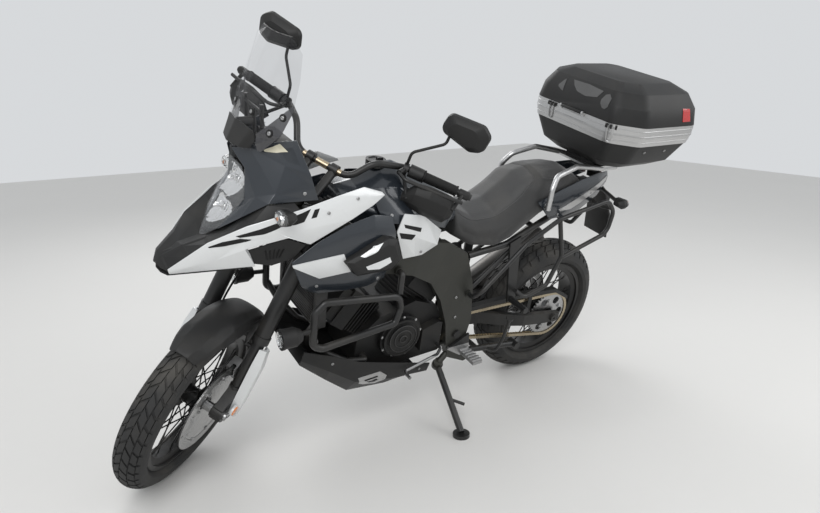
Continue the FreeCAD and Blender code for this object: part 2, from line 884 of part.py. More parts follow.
fender_gap = 16
fender_rows = (
    # angle from straight up, growth of the radius, half width, side depth
    (-62, 16, 58, 36),
    (-40, 16, 66, 60),
    (-26, 12, 69, 66),
    (-10, 6, 74, 60),
    (4, 0, 72, 32),
    (13, 0, 62, 26),
    (21, 0, 46, 24),
)
rows = [
    fender_row(math.radians(angle), front_radius + fender_gap + grow, half, depth)
    for angle, grow, half, depth in fender_rows
]
ears = []
for side in (1, -1):
    ear = prism(
        [on_fork(stay_along - 14, side * 62, ahead - 12), on_fork(stay_along - 14, side * 62, ahead + 12),
         on_fork(stay_along + 84, side * 62, ahead + 40), on_fork(stay_along + 84, side * 62, ahead - 60)],
        Y * side * 4,
    )
    ears.append(ear)
fender = fused([loft(rows)] + ears)
feature("front_fender", fender, STEERED)

# Guards on the sliders, with a round reflector low on each.
guard_rows = (
    # along the fork, half width, how far out it bulges
    (-10, 20, 10),
    (50, 30, 16),
    (190, 34, 18),
    (250, 27, 10),
)
guards = []
for side in (1, -1):
    rows = []
    for along, half, bulge in guard_rows:
        out = spread + tube_radius + 4
        row = [
            on_fork(along, side * (out - 12), ahead - half),
            on_fork(along, side * (out + bulge), ahead - half * 0.45),
            on_fork(along, side * (out + bulge), ahead + half * 0.55),
            on_fork(along, side * (out - 12), ahead + half),
            on_fork(along, side * (out - 8), ahead + half * 0.6),
            on_fork(along, side * (out + 0.5), ahead + half * 0.3),
            on_fork(along, side * (out + 0.5), ahead - half * 0.3),
            on_fork(along, side * (out - 8), ahead - half * 0.6),
        ]
        rows.append(Part.makePolygon(row + [row[0]]))
    guards.append(loft(rows))
    spot = on_fork(22, side * (spread + tube_radius + 5), 22)
    plate = Part.makeCylinder(19, 8, spot, Y * side)
    arm = rod(on_fork(22, side * (spread + tube_radius + 7), ahead + 4), spot + Y * side * 3, 4)
    guards[-1] = fused([guards[-1], plate, arm])
feature("fork_guards", solids(guards), STEERED)


def caliper(centre, place, angle, radius, side, near, far):
    """A block on both faces of a disc, open where the disc runs through."""
    out = vec(math.cos(angle), 0, math.sin(angle))
    around = Y.cross(out)
    middle = centre + out * (radius - float(size.disc_band) / 2 + 9)
    long, deep = 62, 30
    body = [
        middle + around * long - out * deep * 0.5, middle + around * long * 0.8 + out * deep,
        middle - around * long * 0.8 + out * deep, middle - around * long - out * deep * 0.5,
        middle - around * long * 0.45 - out * deep, middle + around * long * 0.45 - out * deep,
    ]
    block = prism([point + Y * side * near for point in body], Y * side * (far - near))
    gap = float(size.disc_thickness) / 2 + float(size.running_gap)
    slot = Part.makeCylinder(radius + 5, gap * 2, centre + Y * (side * place - gap), Y)
    return block.cut(slot)


front_place, front_disc = float(size.front_disc_place), float(size.front_disc_radius)
brake_near, brake_far = 50, spread - slider_radius - float(size.seat_gap)
brakes = [
    caliper(front_axle, front_place, math.radians(150), front_disc, side, brake_near, brake_far)
    for side in (1, -1)
]
feature("front_calipers", solids(brakes), STEERED)

# Handlebar and what is clamped on it.
bar_half = float(size.bar_half)
bar_path = [
    bar_middle, bar_middle + Y * 98, vec(240, 148, 1125), vec(161, 228, 1121),
    vec(157, 290, 1122), vec(112, bar_half, 1114),
]
left_run = bar_path[::-1]
right_run = [vec(point.x, -point.y, point.z) for point in bar_path[1:]]
grip_start, grip_end = bar_path[4], bar_path[5]
grip_along = (grip_end - grip_start).normalize()
bar = tube(left_run[:-1] + right_run, size.bar_radius, 60)

grip_radius = float(size.grip_radius)
bore = Part.makeCylinder(float(size.bar_radius) + 0.05, 400, grip_start - grip_along * 100, grip_along)
start = grip_start + grip_along * 6
grip = Part.makeCylinder(grip_radius, 122, start, grip_along)
collar = Part.makeCylinder(grip_radius + 5, 5, start, grip_along)
rim_end = Part.makeCylinder(grip_radius + 2, 4, start + grip_along * 118, grip_along)
grip = fused([grip, collar, rim_end]).cut(bore)
feature("grips", both_sides(grip), STEERED)

switch_start = grip_start - grip_along * 44
housing = Part.makeCylinder(22, 48, switch_start, grip_along)
perch_spot = grip_start - grip_along * 66
perch = Part.makeCylinder(19, 17, perch_spot, grip_along)
arm_root = perch_spot + grip_along * 8 + X * 18
pivot = arm_root + X * 26 - Y * 4
arm = rod(arm_root - X * 4, pivot, 9)
lever = tube(
    [pivot, pivot + X * 22 + Y * 30, grip_end + X * 62 - grip_along * 60, grip_end + X * 56 - grip_along * 12],
    6, 30,
)
controls = [fused([perch, arm, lever]), housing]
controls += [twin.mirror(Vector(), Y) for twin in controls]
feature("handlebar", fused([bar] + controls), STEERED)

guard_columns = (
    # x, y, low z, high z of the guard's outer face
    (234, 272, 1040, 1066),
    (236, 310, 1030, 1122),
    (226, 358, 1022, 1130),
    (202, 424, 1020, 1122),
    (186, 440, 1040, 1092),
)
rows = []
for across, left, low, high in guard_columns:
    middle = (low + high) / 2
    rows.append([
        (across - 14, left - 4, low), (across, left, middle - (high - low) * 0.2),
        (across, left, middle + (high - low) * 0.2), (across - 20, left - 6, high),
    ])
guard = skin(rows, vec(-4, -3, 0))
end_plug = rod(grip_start + grip_along * 136, grip_start + grip_along * 172, 15).cut(bore)
plug_arm = rod(grip_start + grip_along * 152 + X * 13, vec(190, 434, 1082), 7)
tip_arm = rod(bar_path[3] + vec(11, 2, -6) , vec(234, 290, 1062), 6)
bar_clear = tube(left_run[:-1] + right_run, float(size.bar_radius) + float(size.seat_gap), 60)
guard = fused([guard, end_plug, plug_arm, tip_arm]).cut(fused([bar_clear] + controls[:2]))
feature("hand_guards", both_sides(largest(guard)), STEERED)

mirror_face = vec(85, 352, 1300)
mirror_sections = (
    # ahead of the glass, share of the outline
    (0, 1.0),
    (16, 0.96),
    (34, 0.62),
)
mirror_corners = ((-82, -30), (-70, 38), (52, 52), (86, 26), (80, -34), (40, -52))
sections = []
for ahead_of, share in mirror_sections:
    ring = [
        mirror_face + vec(ahead_of, left * share, up * share) for left, up in mirror_corners
    ]
    sections.append(rounded(ring, 26, True))
head = loft(sections)
stem_root = perch_spot + grip_along * 8 + Z * (19 + float(size.seat_gap))
stem_top = mirror_face + vec(14, -40, -30)
stalk = tube([stem_root, stem_root + Z * 44, stem_top - Z * 34, stem_top], 5, 20)
feature("mirrors", both_sides(fused([head, stalk])), STEERED)

# The side stand's pivot, and the direction about which it turns.
to_upright = REST.inverse()
foot_ground = REST.multVec(vec(-127, 384, 98))
foot_ground.z = 0
stand_pivot = vec(-168, 126, 240)
foot_spot = to_upright.multVec(foot_ground + Z * 16)
leg_along = (foot_spot - stand_pivot).normalize()
folded_along = vec(-0.93, 0.36, 0.02).normalize()
side_stand_axis = leg_along.cross(folded_along).normalize()

# Frame: a head tube, two cast spars that run down into the pivot plates, cross pieces.
head_low = float(size.clamp_low + size.clamp_thickness) + 2
head_high = float(size.clamp_high) - 2
head_radius = float(size.head_radius)
frame_wall = float(size.frame_wall)
spar_stations = (
    # upper edge x, z; lower edge x, z; distance of the middle from the centre plane
    (432, 968, 446, 888, 22),
    (312, 930, 346, 822, 24),
    (240, 872, 262, 760, 100),
    (180, 860, 205, 748, 128),
    (0, 830, 30, 700, 130),
    (-120, 800, -62, 645, 122),
    (-212, 742, -120, 560, 120),
    (-262, 600, -160, 450, 125),
    (-285, 440, -180, 340, 126),
    (-262, 296, -196, 290, 126),
)
sections = []
for upper_x, upper_z, lower_x, lower_z, middle in spar_stations:
    sections.append([
        (upper_x, middle - frame_wall / 2, upper_z), (upper_x, middle + frame_wall / 2, upper_z),
        (lower_x, middle + frame_wall / 2, lower_z), (lower_x, middle - frame_wall / 2, lower_z),
    ])
spar = rings(sections)
head = Part.makeCylinder(head_radius, head_high - head_low, on_fork(head_low, 0, 0), steer_up)
pivot = vec(-222, 0, 386)
spread_low = 126 - frame_wall / 2
tank_stay = vec(120, 0, 857)
bar_boss = vec(96, 0, 735)
rack_boss = vec(-245, 0, 566)
crossings = [
    Part.makeCylinder(16, 2 * spread_low + 4, vec(-225, -spread_low - 2, 296), Y),
    Part.makeCylinder(24, 2 * 118, vec(-215, -118, 690), Y),
    Part.makeCylinder(14, 2 * 128, tank_stay - Y * 128, Y),
]
lugs = []
for side in (1, -1):
    lugs.append(prism(
        [vec(-198, side * 142, 320), vec(-262, side * 142, 320), vec(-318, side * 142, 246),
         vec(-286, side * 142, 236), vec(-198, side * 142, 280)], Y * (-side) * 14,
    ))
    lugs.append(Part.makeCylinder(16, 28, bar_boss + Y * side * 130, Y * side))
    lugs.append(Part.makeCylinder(14, 20, rack_boss + Y * side * 130, Y * side))

# The stay ahead of the head tube carries the headlamp and the instruments.
lamp_back, dash_foot = 560 - float(size.seat_gap), vec(520, 0, 1108)
stay_plate = Part.makeBox(8, 80, 85, vec(lamp_back - 8, -40, 985))
dash_slope = vec(-14, 0, 46).normalize()
fairing_stay = [
    rod(on_fork(680, 0, 20), vec(lamp_back - 8, 0, 1000), 12), stay_plate,
    rod(dash_foot - dash_slope * 100, dash_foot - dash_slope * float(size.seat_gap), 9),
]
# The bracket over the side stand's eye, with the pin that goes through it.
stand_bracket = [
    Part.makeCylinder(17, 24, stand_pivot + side_stand_axis * 8.3, side_stand_axis),
    rod(stand_pivot + side_stand_axis * 24, vec(-215, 126, 302), 13),
    Part.makeCylinder(8, 30, stand_pivot - side_stand_axis * 15, side_stand_axis),
    Part.makeCylinder(12, 6, stand_pivot - side_stand_axis * 14.3, side_stand_axis),
]
frame_pieces = crossings + lugs + fairing_stay + stand_bracket
frame = spar.multiFuse([spar.mirror(Vector(), Y), head] + frame_pieces)
frame = frame.cut(
    Part.makeCylinder(float(size.stem_radius) + 0.3, 400, on_fork(head_low - 50, 0, 0), steer_up),
)
frame = frame.cut(Part.makeCylinder(10.05, 400, pivot - Y * 200, Y))
feature("main_frame", frame, REST)

# Subframe: two rails and their struts, from the spars to the tail.
rail_radius = 13
rails = []
for side in (1, -1):
    rails.append(tube(
        [vec(-236, side * 112, 716), vec(-420, side * 112, 735), vec(-900, side * 72, 905)],
        rail_radius, 120,
    ))
    rails.append(rod(vec(-272.6, side * 112, 560.7), vec(-560, side * 101, 782), 10))
    edge = 85 if side > 0 else -120
    rails.append(Part.makeBox(20, 35, 22, vec(-700, edge, 806)))
    edge = 64 if side > 0 else -100
    rails.append(Part.makeBox(20, 36, 14, vec(-890, edge, 846)))
    edge = 64 if side > 0 else -82
    rails.append(Part.makeBox(20, 18, 48, vec(-890, edge, 846)))
rails.append(rod(vec(-560, -95, 785), vec(-560, 95, 785), 10))
rails.append(rod(vec(-880, -70, 898.9), vec(-880, 70, 898.9), 10))
feature("subframe", fused(rails), REST)

# Swingarm on its pivot, with the rear axle through its ends.
arm_stations = (
    # x, middle height, half height, inner and outer side
    (-262, 386, 24, 34, 66),
    (-400, 374, 27, 44, 72),
    (-470, 364, 27, 72, 96),
    (-540, 354, 27, 92, 118),
    (-600, 346, 26, 106, 130),
    (-735, 326, 25, 106, 130),
    (-815, 318, 20, 106, 130),
)
arms = []
for side in (1, -1):
    sections = []
    for station, middle, half, near, far in arm_stations:
        sections.append([
            (station, side * near, middle - half), (station, side * far, middle - half),
            (station, side * far, middle + half), (station, side * near, middle + half),
        ])
    arms.append(rings(sections))
barrel = Part.makeCylinder(29, 200, pivot - Y * 100, Y)
web = prism(
    [vec(-230, -40, 402), vec(-230, -40, 370), vec(-420, -40, 350), vec(-420, -40, 390)], Y * 80,
)
arm = fused(arms + [barrel, web])
arm = arm.cut(Part.makeCylinder(9.9, 400, pivot - Y * 200, Y))
arm = arm.cut(Part.makeCylinder(float(size.axle_radius) - 0.1, 400, rear_axle - Y * 200, Y))
shaft = Part.makeCylinder(10, 290, pivot - Y * 145, Y)
arm_outer, arm_inner = 130, 106
rear_half = arm_outer + 9
rear_shaft = Part.makeCylinder(float(size.axle_radius), 2 * rear_half, rear_axle - Y * rear_half, Y)
heads = []
for side in (1, -1):
    heads.append(Part.makeCylinder(17, 10.1, rear_axle + Y * (side * (arm_outer - 0.1)), Y * side))
    heads.append(Part.makeCylinder(17, 8, pivot + Y * (side * 143.3), Y * side))
rear_inner = float(size.rear_hub_half) + 8
spacer_end = arm_inner + 0.1
right_spacer = Part.makeCylinder(16, spacer_end - rear_inner, rear_axle - Y * spacer_end, Y)
left_start = float(size.chain_line) + 4
left_spacer = Part.makeCylinder(16, spacer_end - left_start, rear_axle + Y * left_start, Y)
swingarm = fused([arm, rear_shaft, shaft, right_spacer, left_spacer] + heads)
swingarm = swingarm.cut(Part.makeCylinder(float(size.axle_bore), 400, rear_axle - Y * 200, Y))
feature("swingarm", swingarm, REST)
drive = toothed(size.drive_teeth, 6.0)
drive.translate(Y * sprocket_place)
drive_middle = vec(size.drive_place, 0, size.drive_height)
drive.translate(drive_middle)
output = Part.makeCylinder(14, 50, drive_middle + Y * 50, Y)

# Engine: crankcases, two finned cylinders a right angle apart, and round side covers.
crank = vec(60, 0, 430)
case_outline = [
    vec(-190, 0, 330), vec(-170, 0, 300), vec(150, 0, 285), vec(215, 0, 350), vec(205, 0, 450),
    vec(120, 0, 520), vec(-30, 0, 560), vec(-130, 0, 520), vec(-154, 0, 470),
]
case_half = 106
block = prism([point - Y * case_half for point in case_outline], Y * 2 * case_half)
chain_gap = Part.makeCylinder(52, 80, drive_middle + Y * 78, Y)
chain_gap = chain_gap.fuse(Part.makeBox(120, 80, 134, vec(-252, 78, 321)))
rear_header_path = [
    vec(-131, -10, 555), vec(-158, -40, 536), vec(-172, -78, 500), vec(-172, -78, 300),
    vec(-150, -60, 236), vec(-80, -60, 236),
]
front_header_path = [
    vec(288, 0, 514), vec(318, 0, 476), vec(340, -5, 440), vec(345, -15, 400),
    vec(310, -30, 342), vec(215, -45, 252), vec(150, -52, 238), vec(-80, -60, 236),
]
header_radius = 19
header_room = tube(rear_header_path, header_radius + 3, 40)
block = block.cut(header_room)


def cylinder_bank(angle, length):
    """A finned barrel with its head and cover, leaning from the crank's axis."""
    up = vec(math.cos(angle), 0, math.sin(angle))
    side = Y.cross(up)
    pieces = []

    def slab(start, tall, half_across, half_wide):
        corner = crank + up * start - side * half_across - Y * half_wide
        return prism(
            [corner, corner + side * 2 * half_across,
             corner + side * 2 * half_across + Y * 2 * half_wide, corner + Y * 2 * half_wide],
            up * tall,
        )

    pieces.append(slab(95, length - 95, 62, 62))
    fin_count = 6
    for index in range(fin_count):
        pieces.append(slab(118 + index * 14, 4, 72, 76))
    pieces.append(slab(length - 100, 62, 74, 92))
    pieces.append(slab(length - 40, 40, 64, 86))
    return fused(pieces)


banks = [cylinder_bank(math.radians(38), 300), cylinder_bank(math.radians(128), 285)]
for number, path, bend in ((0, front_header_path, 60), (1, rear_header_path, 40)):
    back = (path[0] - path[1]).normalize() * float(size.seat_gap)
    bed = tube([path[0] + back] + path[1:], header_radius + float(size.seat_gap), bend)
    banks[number] = largest(banks[number].cut(block).cut(bed))
feature("cylinders", solids(banks), REST)

covers = []
generator = crank + vec(-29, case_half, 0)
for radius, start, depth in ((88, -1, 23), (78, 21, 12), (58, 32, 6)):
    covers.append(Part.makeCylinder(radius, depth, generator + Y * start, Y))
groove = Part.makeCylinder(70, 3, generator + Y * 31, Y).cut(
    Part.makeCylinder(64, 3, generator + Y * 31, Y))
left_cover = fused(covers).cut(groove)
clutch = crank + vec(-60, -case_half, -10)
covers = []
for radius, start, depth in ((100, -1, 25), (84, 23, 14)):
    covers.append(Part.makeCylinder(radius, depth, clutch - Y * start, -Y))
right_cover = fused(covers)
guard = prism(
    [vec(-150, 104, 345), vec(-60, 104, 345), vec(-60, 104, 440), vec(-130, 104, 462),
     vec(-150, 104, 455)], Y * 32,
)
brace_boss = vec(180, 0, 372)
bosses = [
    Part.makeCylinder(15, 16, brace_boss + Y * side * 100, Y * side) for side in (1, -1)
]
engine = fused([block.cut(chain_gap), output, drive, left_cover, right_cover, guard] + bosses)
feature("crankcase", engine, REST)

# Exhaust: two headers, a collector under the engine and a silencer on the right.
front_header = tube(front_header_path, header_radius, 60)
rear_header = tube(rear_header_path, header_radius, 40)
link_pipe = tube(
    [vec(-80, -60, 236), vec(-170, -110, 236), vec(-240, -168, 252), vec(-340, -172, 268),
     vec(-460, -176, 335), vec(-545, -178, 382)], 22, 60,
)
can_start, can_end = vec(-540, -178, 380), vec(-905, -196, 560)
can_along = (can_end - can_start).normalize()
can = Part.makeCylinder(58, (can_end - can_start).Length, can_start, can_along)
nose = Part.makeCone(26, 58, 60, can_start - can_along * 59.9, can_along)
tip = Part.makeCylinder(30, 24, can_end - can_along * 0.1, can_along)
tip = tip.cut(Part.makeCylinder(24, 60, can_end - can_along * 10, can_along))
can = can.cut(Part.makeCylinder(24, 60, can_end - can_along * 40, can_along))
feature("exhaust", fused([front_header, rear_header, link_pipe, can, nose, tip]), REST)

# Radiator between the side covers, hung from the spars by two lugs.
core = Part.makeBox(36, 252, 190, vec(362, -126, 570))
tanks = [Part.makeBox(38, 24, 190, vec(361, side, 570)) for side in (-150, 126)]
face = []
fin_count = 19
for index in range(fin_count):
    level = 576 + index * (178 / (fin_count - 1))
    face.append(Part.makeBox(4, 251, 3, vec(397.8, -125.5, level)))
for side in (1, -1):
    lug = Part.makeBox(26, 10, 120, vec(367, side * 24 - 5, 755))
    under_spar = room(
        (((300, 0, 790.9), (460, 0, 896.5)), ((300, 60, 790.9), (460, 60, 896.5))), Z * 0, Z * 60)
    under_spar = under_spar if side > 0 else under_spar.mirror(Vector(), Y)
    face.append(largest(lug.cut(under_spar)))
feature("radiator", fused([core] + tanks + face), REST)

# Under cowl: a deep front nose, side walls, and a flat skid along the bottom.
cowl_rows = (
    # x, top edge height, half width at the top, half width at the bottom, bottom height
    (432, 486, 150, 118, 410),
    (330, 452, 168, 120, 318),
    (225, 400, 172, 96, 218),
    (60, 345, 168, 96, 200),
    (-110, 282, 150, 88, 205),
)
rows = []
for station, top, half_top, half_low, low in cowl_rows:
    middle = (top + low) / 2
    rows.append([
        (station, half_top, top), (station + 6, half_top * 0.96, middle), (station, half_low, low),
        (station, -half_low, low), (station + 6, -half_top * 0.96, middle),
        (station, -half_top, top),
    ])
cowl_wall = float(size.panel_wall)


def trough(rows, wall):
    """A panel bent round below a machine: its inner face is drawn in and up."""
    outer = [[vec(*point) for point in row] for row in rows]
    faces = []
    inner = []
    for row in outer:
        low = min(point.z for point in row)
        lifted = []
        for point in row:
            lift = wall if point.z - low < 1 else 0
            draw = wall if lift == 0 else wall * 0.8
            lifted.append(point + vec(0, -math.copysign(draw, point.y), lift))
        inner.append(lifted)
    last_row, last_column = len(outer) - 1, len(outer[0]) - 1
    for row in range(last_row):
        for column in range(last_column):
            spots = ((row, column), (row, column + 1), (row + 1, column + 1), (row + 1, column))
            faces += facets([outer[i][j] for i, j in spots])
            faces += facets([inner[i][j] for i, j in reversed(spots)])
        for column in (0, last_column):
            faces += facets([
                outer[row][column], outer[row + 1][column],
                inner[row + 1][column], inner[row][column],
            ])
    for row in (0, last_row):
        for column in range(last_column):
            faces += facets([
                outer[row][column], outer[row][column + 1],
                inner[row][column + 1], inner[row][column],
            ])
    return closed(faces)


feature("under_cowl", trough(rows, cowl_wall), REST)

# Crash bars: one bent loop a side, its stubs on the engine and the frame.
loops = []
for side in (1, -1):
    loop = hoop(
        [vec(96, side * 192, 612), vec(118, side * 204, 668), vec(396, side * 204, 704),
         vec(430, side * 204, 672), vec(430, side * 204, 548), vec(396, side * 204, 528),
         vec(118, side * 200, 556)],
        size.crash_tube_radius, 40,
    )
    stub_end = side * (158 + float(size.seat_gap))
    stub = tube(
        [vec(110, side * 196, 672), vec(96, side * 175, 735), bar_boss + Y * stub_end], 11, 20,
    )
    brace_end = side * (116 + float(size.seat_gap))
    brace = tube(
        [vec(424, side * 204, 566), vec(404, side * 164, 518), vec(340, side * 122, 440),
         vec(250, side * 124, 380), vec(180, side * 132, 372), brace_boss + Y * brace_end],
        11, 30,
    )
    loops.append(fused([loop, stub, brace]))
feature("crash_bars", solids(loops), REST)

# Extra lamps on the front of the crash bars.
lamps = []
for side in (1, -1):
    middle = vec(500, side * 214, 610)
    shell = Part.makeCylinder(32, 44, middle, X)
    rear_cone = Part.makeCone(20, 32, 22, middle - X * 21.9, X)
    hood = Part.makeCylinder(34, 8, middle + X * 40, X)
    hollow = Part.makeCylinder(27, 20, middle + X * 34, X)
    arm_foot = 430 + float(size.crash_tube_radius) + float(size.seat_gap)
    arm = rod(vec(arm_foot, side * 204, 610), middle + vec(2, -side * 2, 0), 8)
    lamps.append(fused([shell, rear_cone, hood]).cut(hollow).fuse(arm).removeSplitter())
feature("aux_lamps", solids(lamps), REST)


def across(station, half_low, low, half_wide, wide, half_top, edge, top, bend):
    """A section across the machine with rounded corners, the same on both sides."""
    corners = [
        (half_low, low), (half_wide, wide), (half_top, edge), (0, top),
        (-half_top, edge), (-half_wide, wide), (-half_low, low),
    ]
    return rounded([vec(station, left, level) for left, level in corners], bend, True)


# Tank, its filler cap and the seat behind it.
tank_sections = (
    # x, half low, low, half wide, wide, half top, top edge, top middle
    (290, 56, 925, 88, 975, 52, 1004, 1016),
    (230, 112, 884, 136, 975, 84, 1004, 1026),
    (140, 120, 873, 146, 930, 90, 1024, 1084),
    (80, 122, 868, 148, 925, 92, 1016, 1086),
    (-60, 112, 862, 132, 925, 76, 984, 1022),
    (-148, 92, 858, 108, 900, 60, 946, 962),
)
tank = loft([across(*row, 26) for row in tank_sections])
cap_radius = 34
cap_middle = vec(140, 0, 1066)
cap_seat = Part.makeCylinder(cap_radius + float(size.seat_gap), 60, cap_middle - Z * 0.3, Z)
tank = tank.cut(cap_seat)
feature("fuel_tank", tank, REST)
cap = Part.makeCylinder(cap_radius, 22, cap_middle, Z)
cap = cap.cut(Part.makeCylinder(cap_radius - 9, 30, cap_middle + Z * 19, Z))
flap = Part.makeBox(22, 10, 8, cap_middle + vec(-25, -5, 18.5))
feature("fuel_cap", fused([cap, flap]), REST)

seat_sections = (
    # x, half low, low, half wide, wide, half top, top edge, top middle
    (-158, 92, 800, 104, 850, 78, 896, 908),
    (-240, 118, 755, 128, 818, 104, 858, 874),
    (-345, 136, 742, 140, 812, 112, 868, 890),
    (-420, 130, 762, 138, 838, 108, 918, 942),
    (-478, 120, 792, 134, 866, 104, 968, 990),
    (-560, 112, 836, 124, 896, 104, 988, 1008),
    (-700, 96, 890, 108, 930, 92, 992, 1012),
    (-790, 78, 916, 90, 938, 74, 956, 966),
)
seat = loft([across(*row, 24) for row in seat_sections])
feature("seat", seat, REST)

# Panels. Each row of corners runs from the front to the back of a panel's outer face.
inward = vec(0, -float(size.panel_wall), 0)


def side_panel(rows):
    return both_sides(skin(rows, inward))


tank_cover = (
    ((205, 88, 1028), (95, 94, 1016), (-30, 84, 982), (-140, 66, 946)),
    ((196, 140, 968), (95, 152, 944), (-12, 140, 930), (-136, 114, 910)),
    ((176, 158, 930), (110, 166, 920), (30, 158, 905), (-92, 128, 860)),
)
cover = seated(skin(tank_cover, inward), tank, Y)
feature("tank_covers", both_sides(cover), REST)

vent_panel = (
    ((110, 166, 956), (28, 158, 936), (-70, 138, 860)),
    ((140, 178, 900), (60, 172, 868), (-52, 152, 812)),
    ((98, 170, 792), (44, 162, 788), (10, 154, 784)),
)
white_wing = (
    ((833, 60, 830), (734, 118, 928), (635, 160, 985), (545, 186, 1016), (489, 192, 1030),
     (360, 184, 1058), (273, 168, 1068), (200, 158, 1040)),
    ((829, 58, 816), (706, 120, 872), (640, 158, 940), (560, 190, 968), (480, 196, 968),
     (352, 192, 1015), (262, 178, 1040), (195, 160, 1034)),
    ((827, 56, 812), (604, 148, 846), (640, 160, 912), (524, 196, 948), (455, 196, 916),
     (323, 198, 980), (240, 182, 1012), (191, 161, 1030)),
)
feature("side_wings", side_panel(white_wing), REST)

shroud = (
    ((505, 182, 856), (430, 190, 914), (330, 190, 958), (236, 184, 978), (165, 176, 962)),
    ((503, 186, 846), (430, 198, 862), (330, 204, 890), (236, 204, 912), (150, 190, 900)),
    ((469, 176, 764), (417, 190, 790), (320, 200, 800), (236, 200, 812), (150, 186, 822)),
    ((440, 160, 730), (409, 176, 726), (320, 184, 722), (236, 184, 722), (170, 176, 735)),
)
feature("side_shrouds", side_panel(shroud), REST)

diamond = (
    ((506, 190.4, 850), (436, 202.4, 862), (345, 207.4, 870)),
    ((503, 190.2, 842), (418, 194.7, 792), (315, 204.5, 802)),
)
scoop_corners = [
    (342, 214, 846), (298, 218, 868), (204, 226, 914), (172, 226, 906), (143, 224, 832),
    (184, 226, 800), (300, 216, 792),
]
pod = rings([
    [(x + 6, y - 22, z) for x, y, z in scoop_corners],
    [(x, y + 6, z) for x, y, z in scoop_corners],
    [(240 + (x - 240) * 0.8, y + 18, 850 + (z - 850) * 0.74) for x, y, z in scoop_corners],
])
behind_shroud = room(shroud, Y * float(size.seat_gap), Y * -40)
pod = largest(pod.cut(behind_shroud))
diamond = largest(skin(diamond, inward).cut(behind_shroud))
diamond = clear_of(diamond, pod)
vent = clear_of(skin(vent_panel, inward), cover)
feature("vent_panels", solids([both_sides(vent), both_sides(diamond)]), REST)
feature("scoop_pods", both_sides(pod), REST)

# Beak between the wings: a ridge that falls to the tip, and the black flanks above them.
beak_top = (
    ((858, 0, 836), (853, 16, 836), (846, 30, 828)),
    ((848, 0, 864), (843, 26, 860), (833, 58, 828)),
    ((790, 0, 886), (786, 44, 896), (780, 88, 882)),
    ((724, 0, 900), (718, 58, 920), (732, 117, 928)),
    ((690, 0, 902), (676, 74, 938), (672, 142, 960)),
    ((640, 0, 915), (630, 104, 985), (622, 160, 990)),
    ((580, 0, 940), (574, 154, 1040), (556, 178, 1012)),
)
flank = (
    ((574, 154, 1040), (556, 178, 1012)),
    ((500, 168, 1044), (489, 188, 1029)),
)
beak_top = [
    row[:0:-1] + (row[0],) + tuple((x, -y, z) for x, y, z in row[1:]) for row in beak_top
]
beak_low = (
    ((852, 0, 812), (846, 28, 808), (832, 54, 808)),
    ((760, 0, 800), (756, 46, 800), (752, 84, 818)),
    ((650, 0, 806), (646, 72, 806), (642, 132, 836)),
)
beak_low = [
    row[:0:-1] + (row[0],) + tuple((x, -y, z) for x, y, z in row[1:]) for row in beak_low
]
beak_shapes = [skin(beak_top, vec(0, 0, -4)), skin(beak_low, vec(0, 0, 4))]
beak_shapes[0] = fused([beak_shapes[0], both_sides(skin(flank, vec(0, 0, -4)))])

cowl = (
    ((632, 22, 1168), (600, 62, 1186), (545, 102, 1204), (484, 132, 1216)),
    ((610, 68, 1122), (575, 106, 1132), (520, 140, 1146), (452, 166, 1126)),
    ((614, 76, 1028), (596, 116, 1052), (552, 152, 1070), (440, 174, 1085)),
    ((686, 58, 938), (640, 110, 988), (574, 158, 1044), (430, 182, 1050)),
)
# Headlamp: a stacked pair of bowls in a housing, under one clear lens.
lens_rows = (
    ((632, 0, 1140), (626, 22, 1134), (614, 46, 1120)),
    ((645, 0, 1085), (638, 34, 1082), (612, 66, 1074)),
    ((672, 0, 1030), (662, 36, 1028), (616, 73, 1030)),
    ((700, 0, 975), (690, 34, 974), (652, 66, 972)),
    ((716, 0, 930), (708, 24, 930), (688, 46, 934)),
    ((724, 0, 903), (720, 12, 905), (714, 22, 909)),
)
lens_rows = [
    row[:0:-1] + (row[0],) + tuple((x, -y, z) for x, y, z in row[1:]) for row in lens_rows
]
lens = skin(lens_rows, vec(-3, 0, 0))
feature("headlight_lens", lens, REST)
wing = skin(white_wing, inward)
beak = []
for panel in beak_shapes:
    for neighbour in (wing, wing.mirror(Vector(), Y), lens):
        panel = clear_of(panel, neighbour)
    beak.append(panel)
feature("beak", solids(beak), REST)
housing_front = [
    (612, 60, 1084), (614, 66, 1030), (646, 58, 972), (682, 38, 934),
    (682, -38, 934), (646, -58, 972), (614, -66, 1030), (612, -60, 1084), (612, -34, 1122),
    (612, 34, 1122),
]
housing = rings([
    [(x - 8, y, z) for x, y, z in housing_front],
    [(560, y * 0.7, z * 0.5 + 515) for x, y, z in housing_front],
])
bowls = []
for bowl_x, level, bowl_radius in ((628, 1066, 40), (664, 988, 42)):
    start = vec(bowl_x + 4, 0, level)
    bowls.append(Part.makeSphere(bowl_radius, start - X * 8))
housing = housing.cut(fused(bowls))
feature("headlight_housing", housing, REST)

# Windscreen: one curved sheet, its bracket below it and the instruments behind.
screen_rows = (
    # height, x at the middle, x and y at the quarter, x and y at the edge
    (1182, 640, 628, 62, 578, 106),
    (1236, 616, 600, 88, 548, 156),
    (1310, 590, 574, 98, 524, 180),
    (1390, 558, 544, 96, 506, 176),
    (1456, 530, 518, 84, 494, 158),
    (1488, 514, 508, 56, 498, 100),
)
screen = []
for level, middle, quarter_x, quarter_y, edge_x, edge_y in screen_rows:
    screen.append([
        (edge_x, edge_y, level), (quarter_x, quarter_y, level), (middle, 0, level),
        (quarter_x, -quarter_y, level), (edge_x, -edge_y, level),
    ])
feature("windscreen", skin(screen, vec(-4, 0, 0)), REST)
screen_front = room(screen, X * (-4 - float(size.seat_gap)), X * 60)
feature("front_cowl", side_panel(cowl), REST)
bracket = [
    rod(vec(556, side * 62, 1150), vec(562, side * 62, 1300), 6) for side in (1, -1)
]
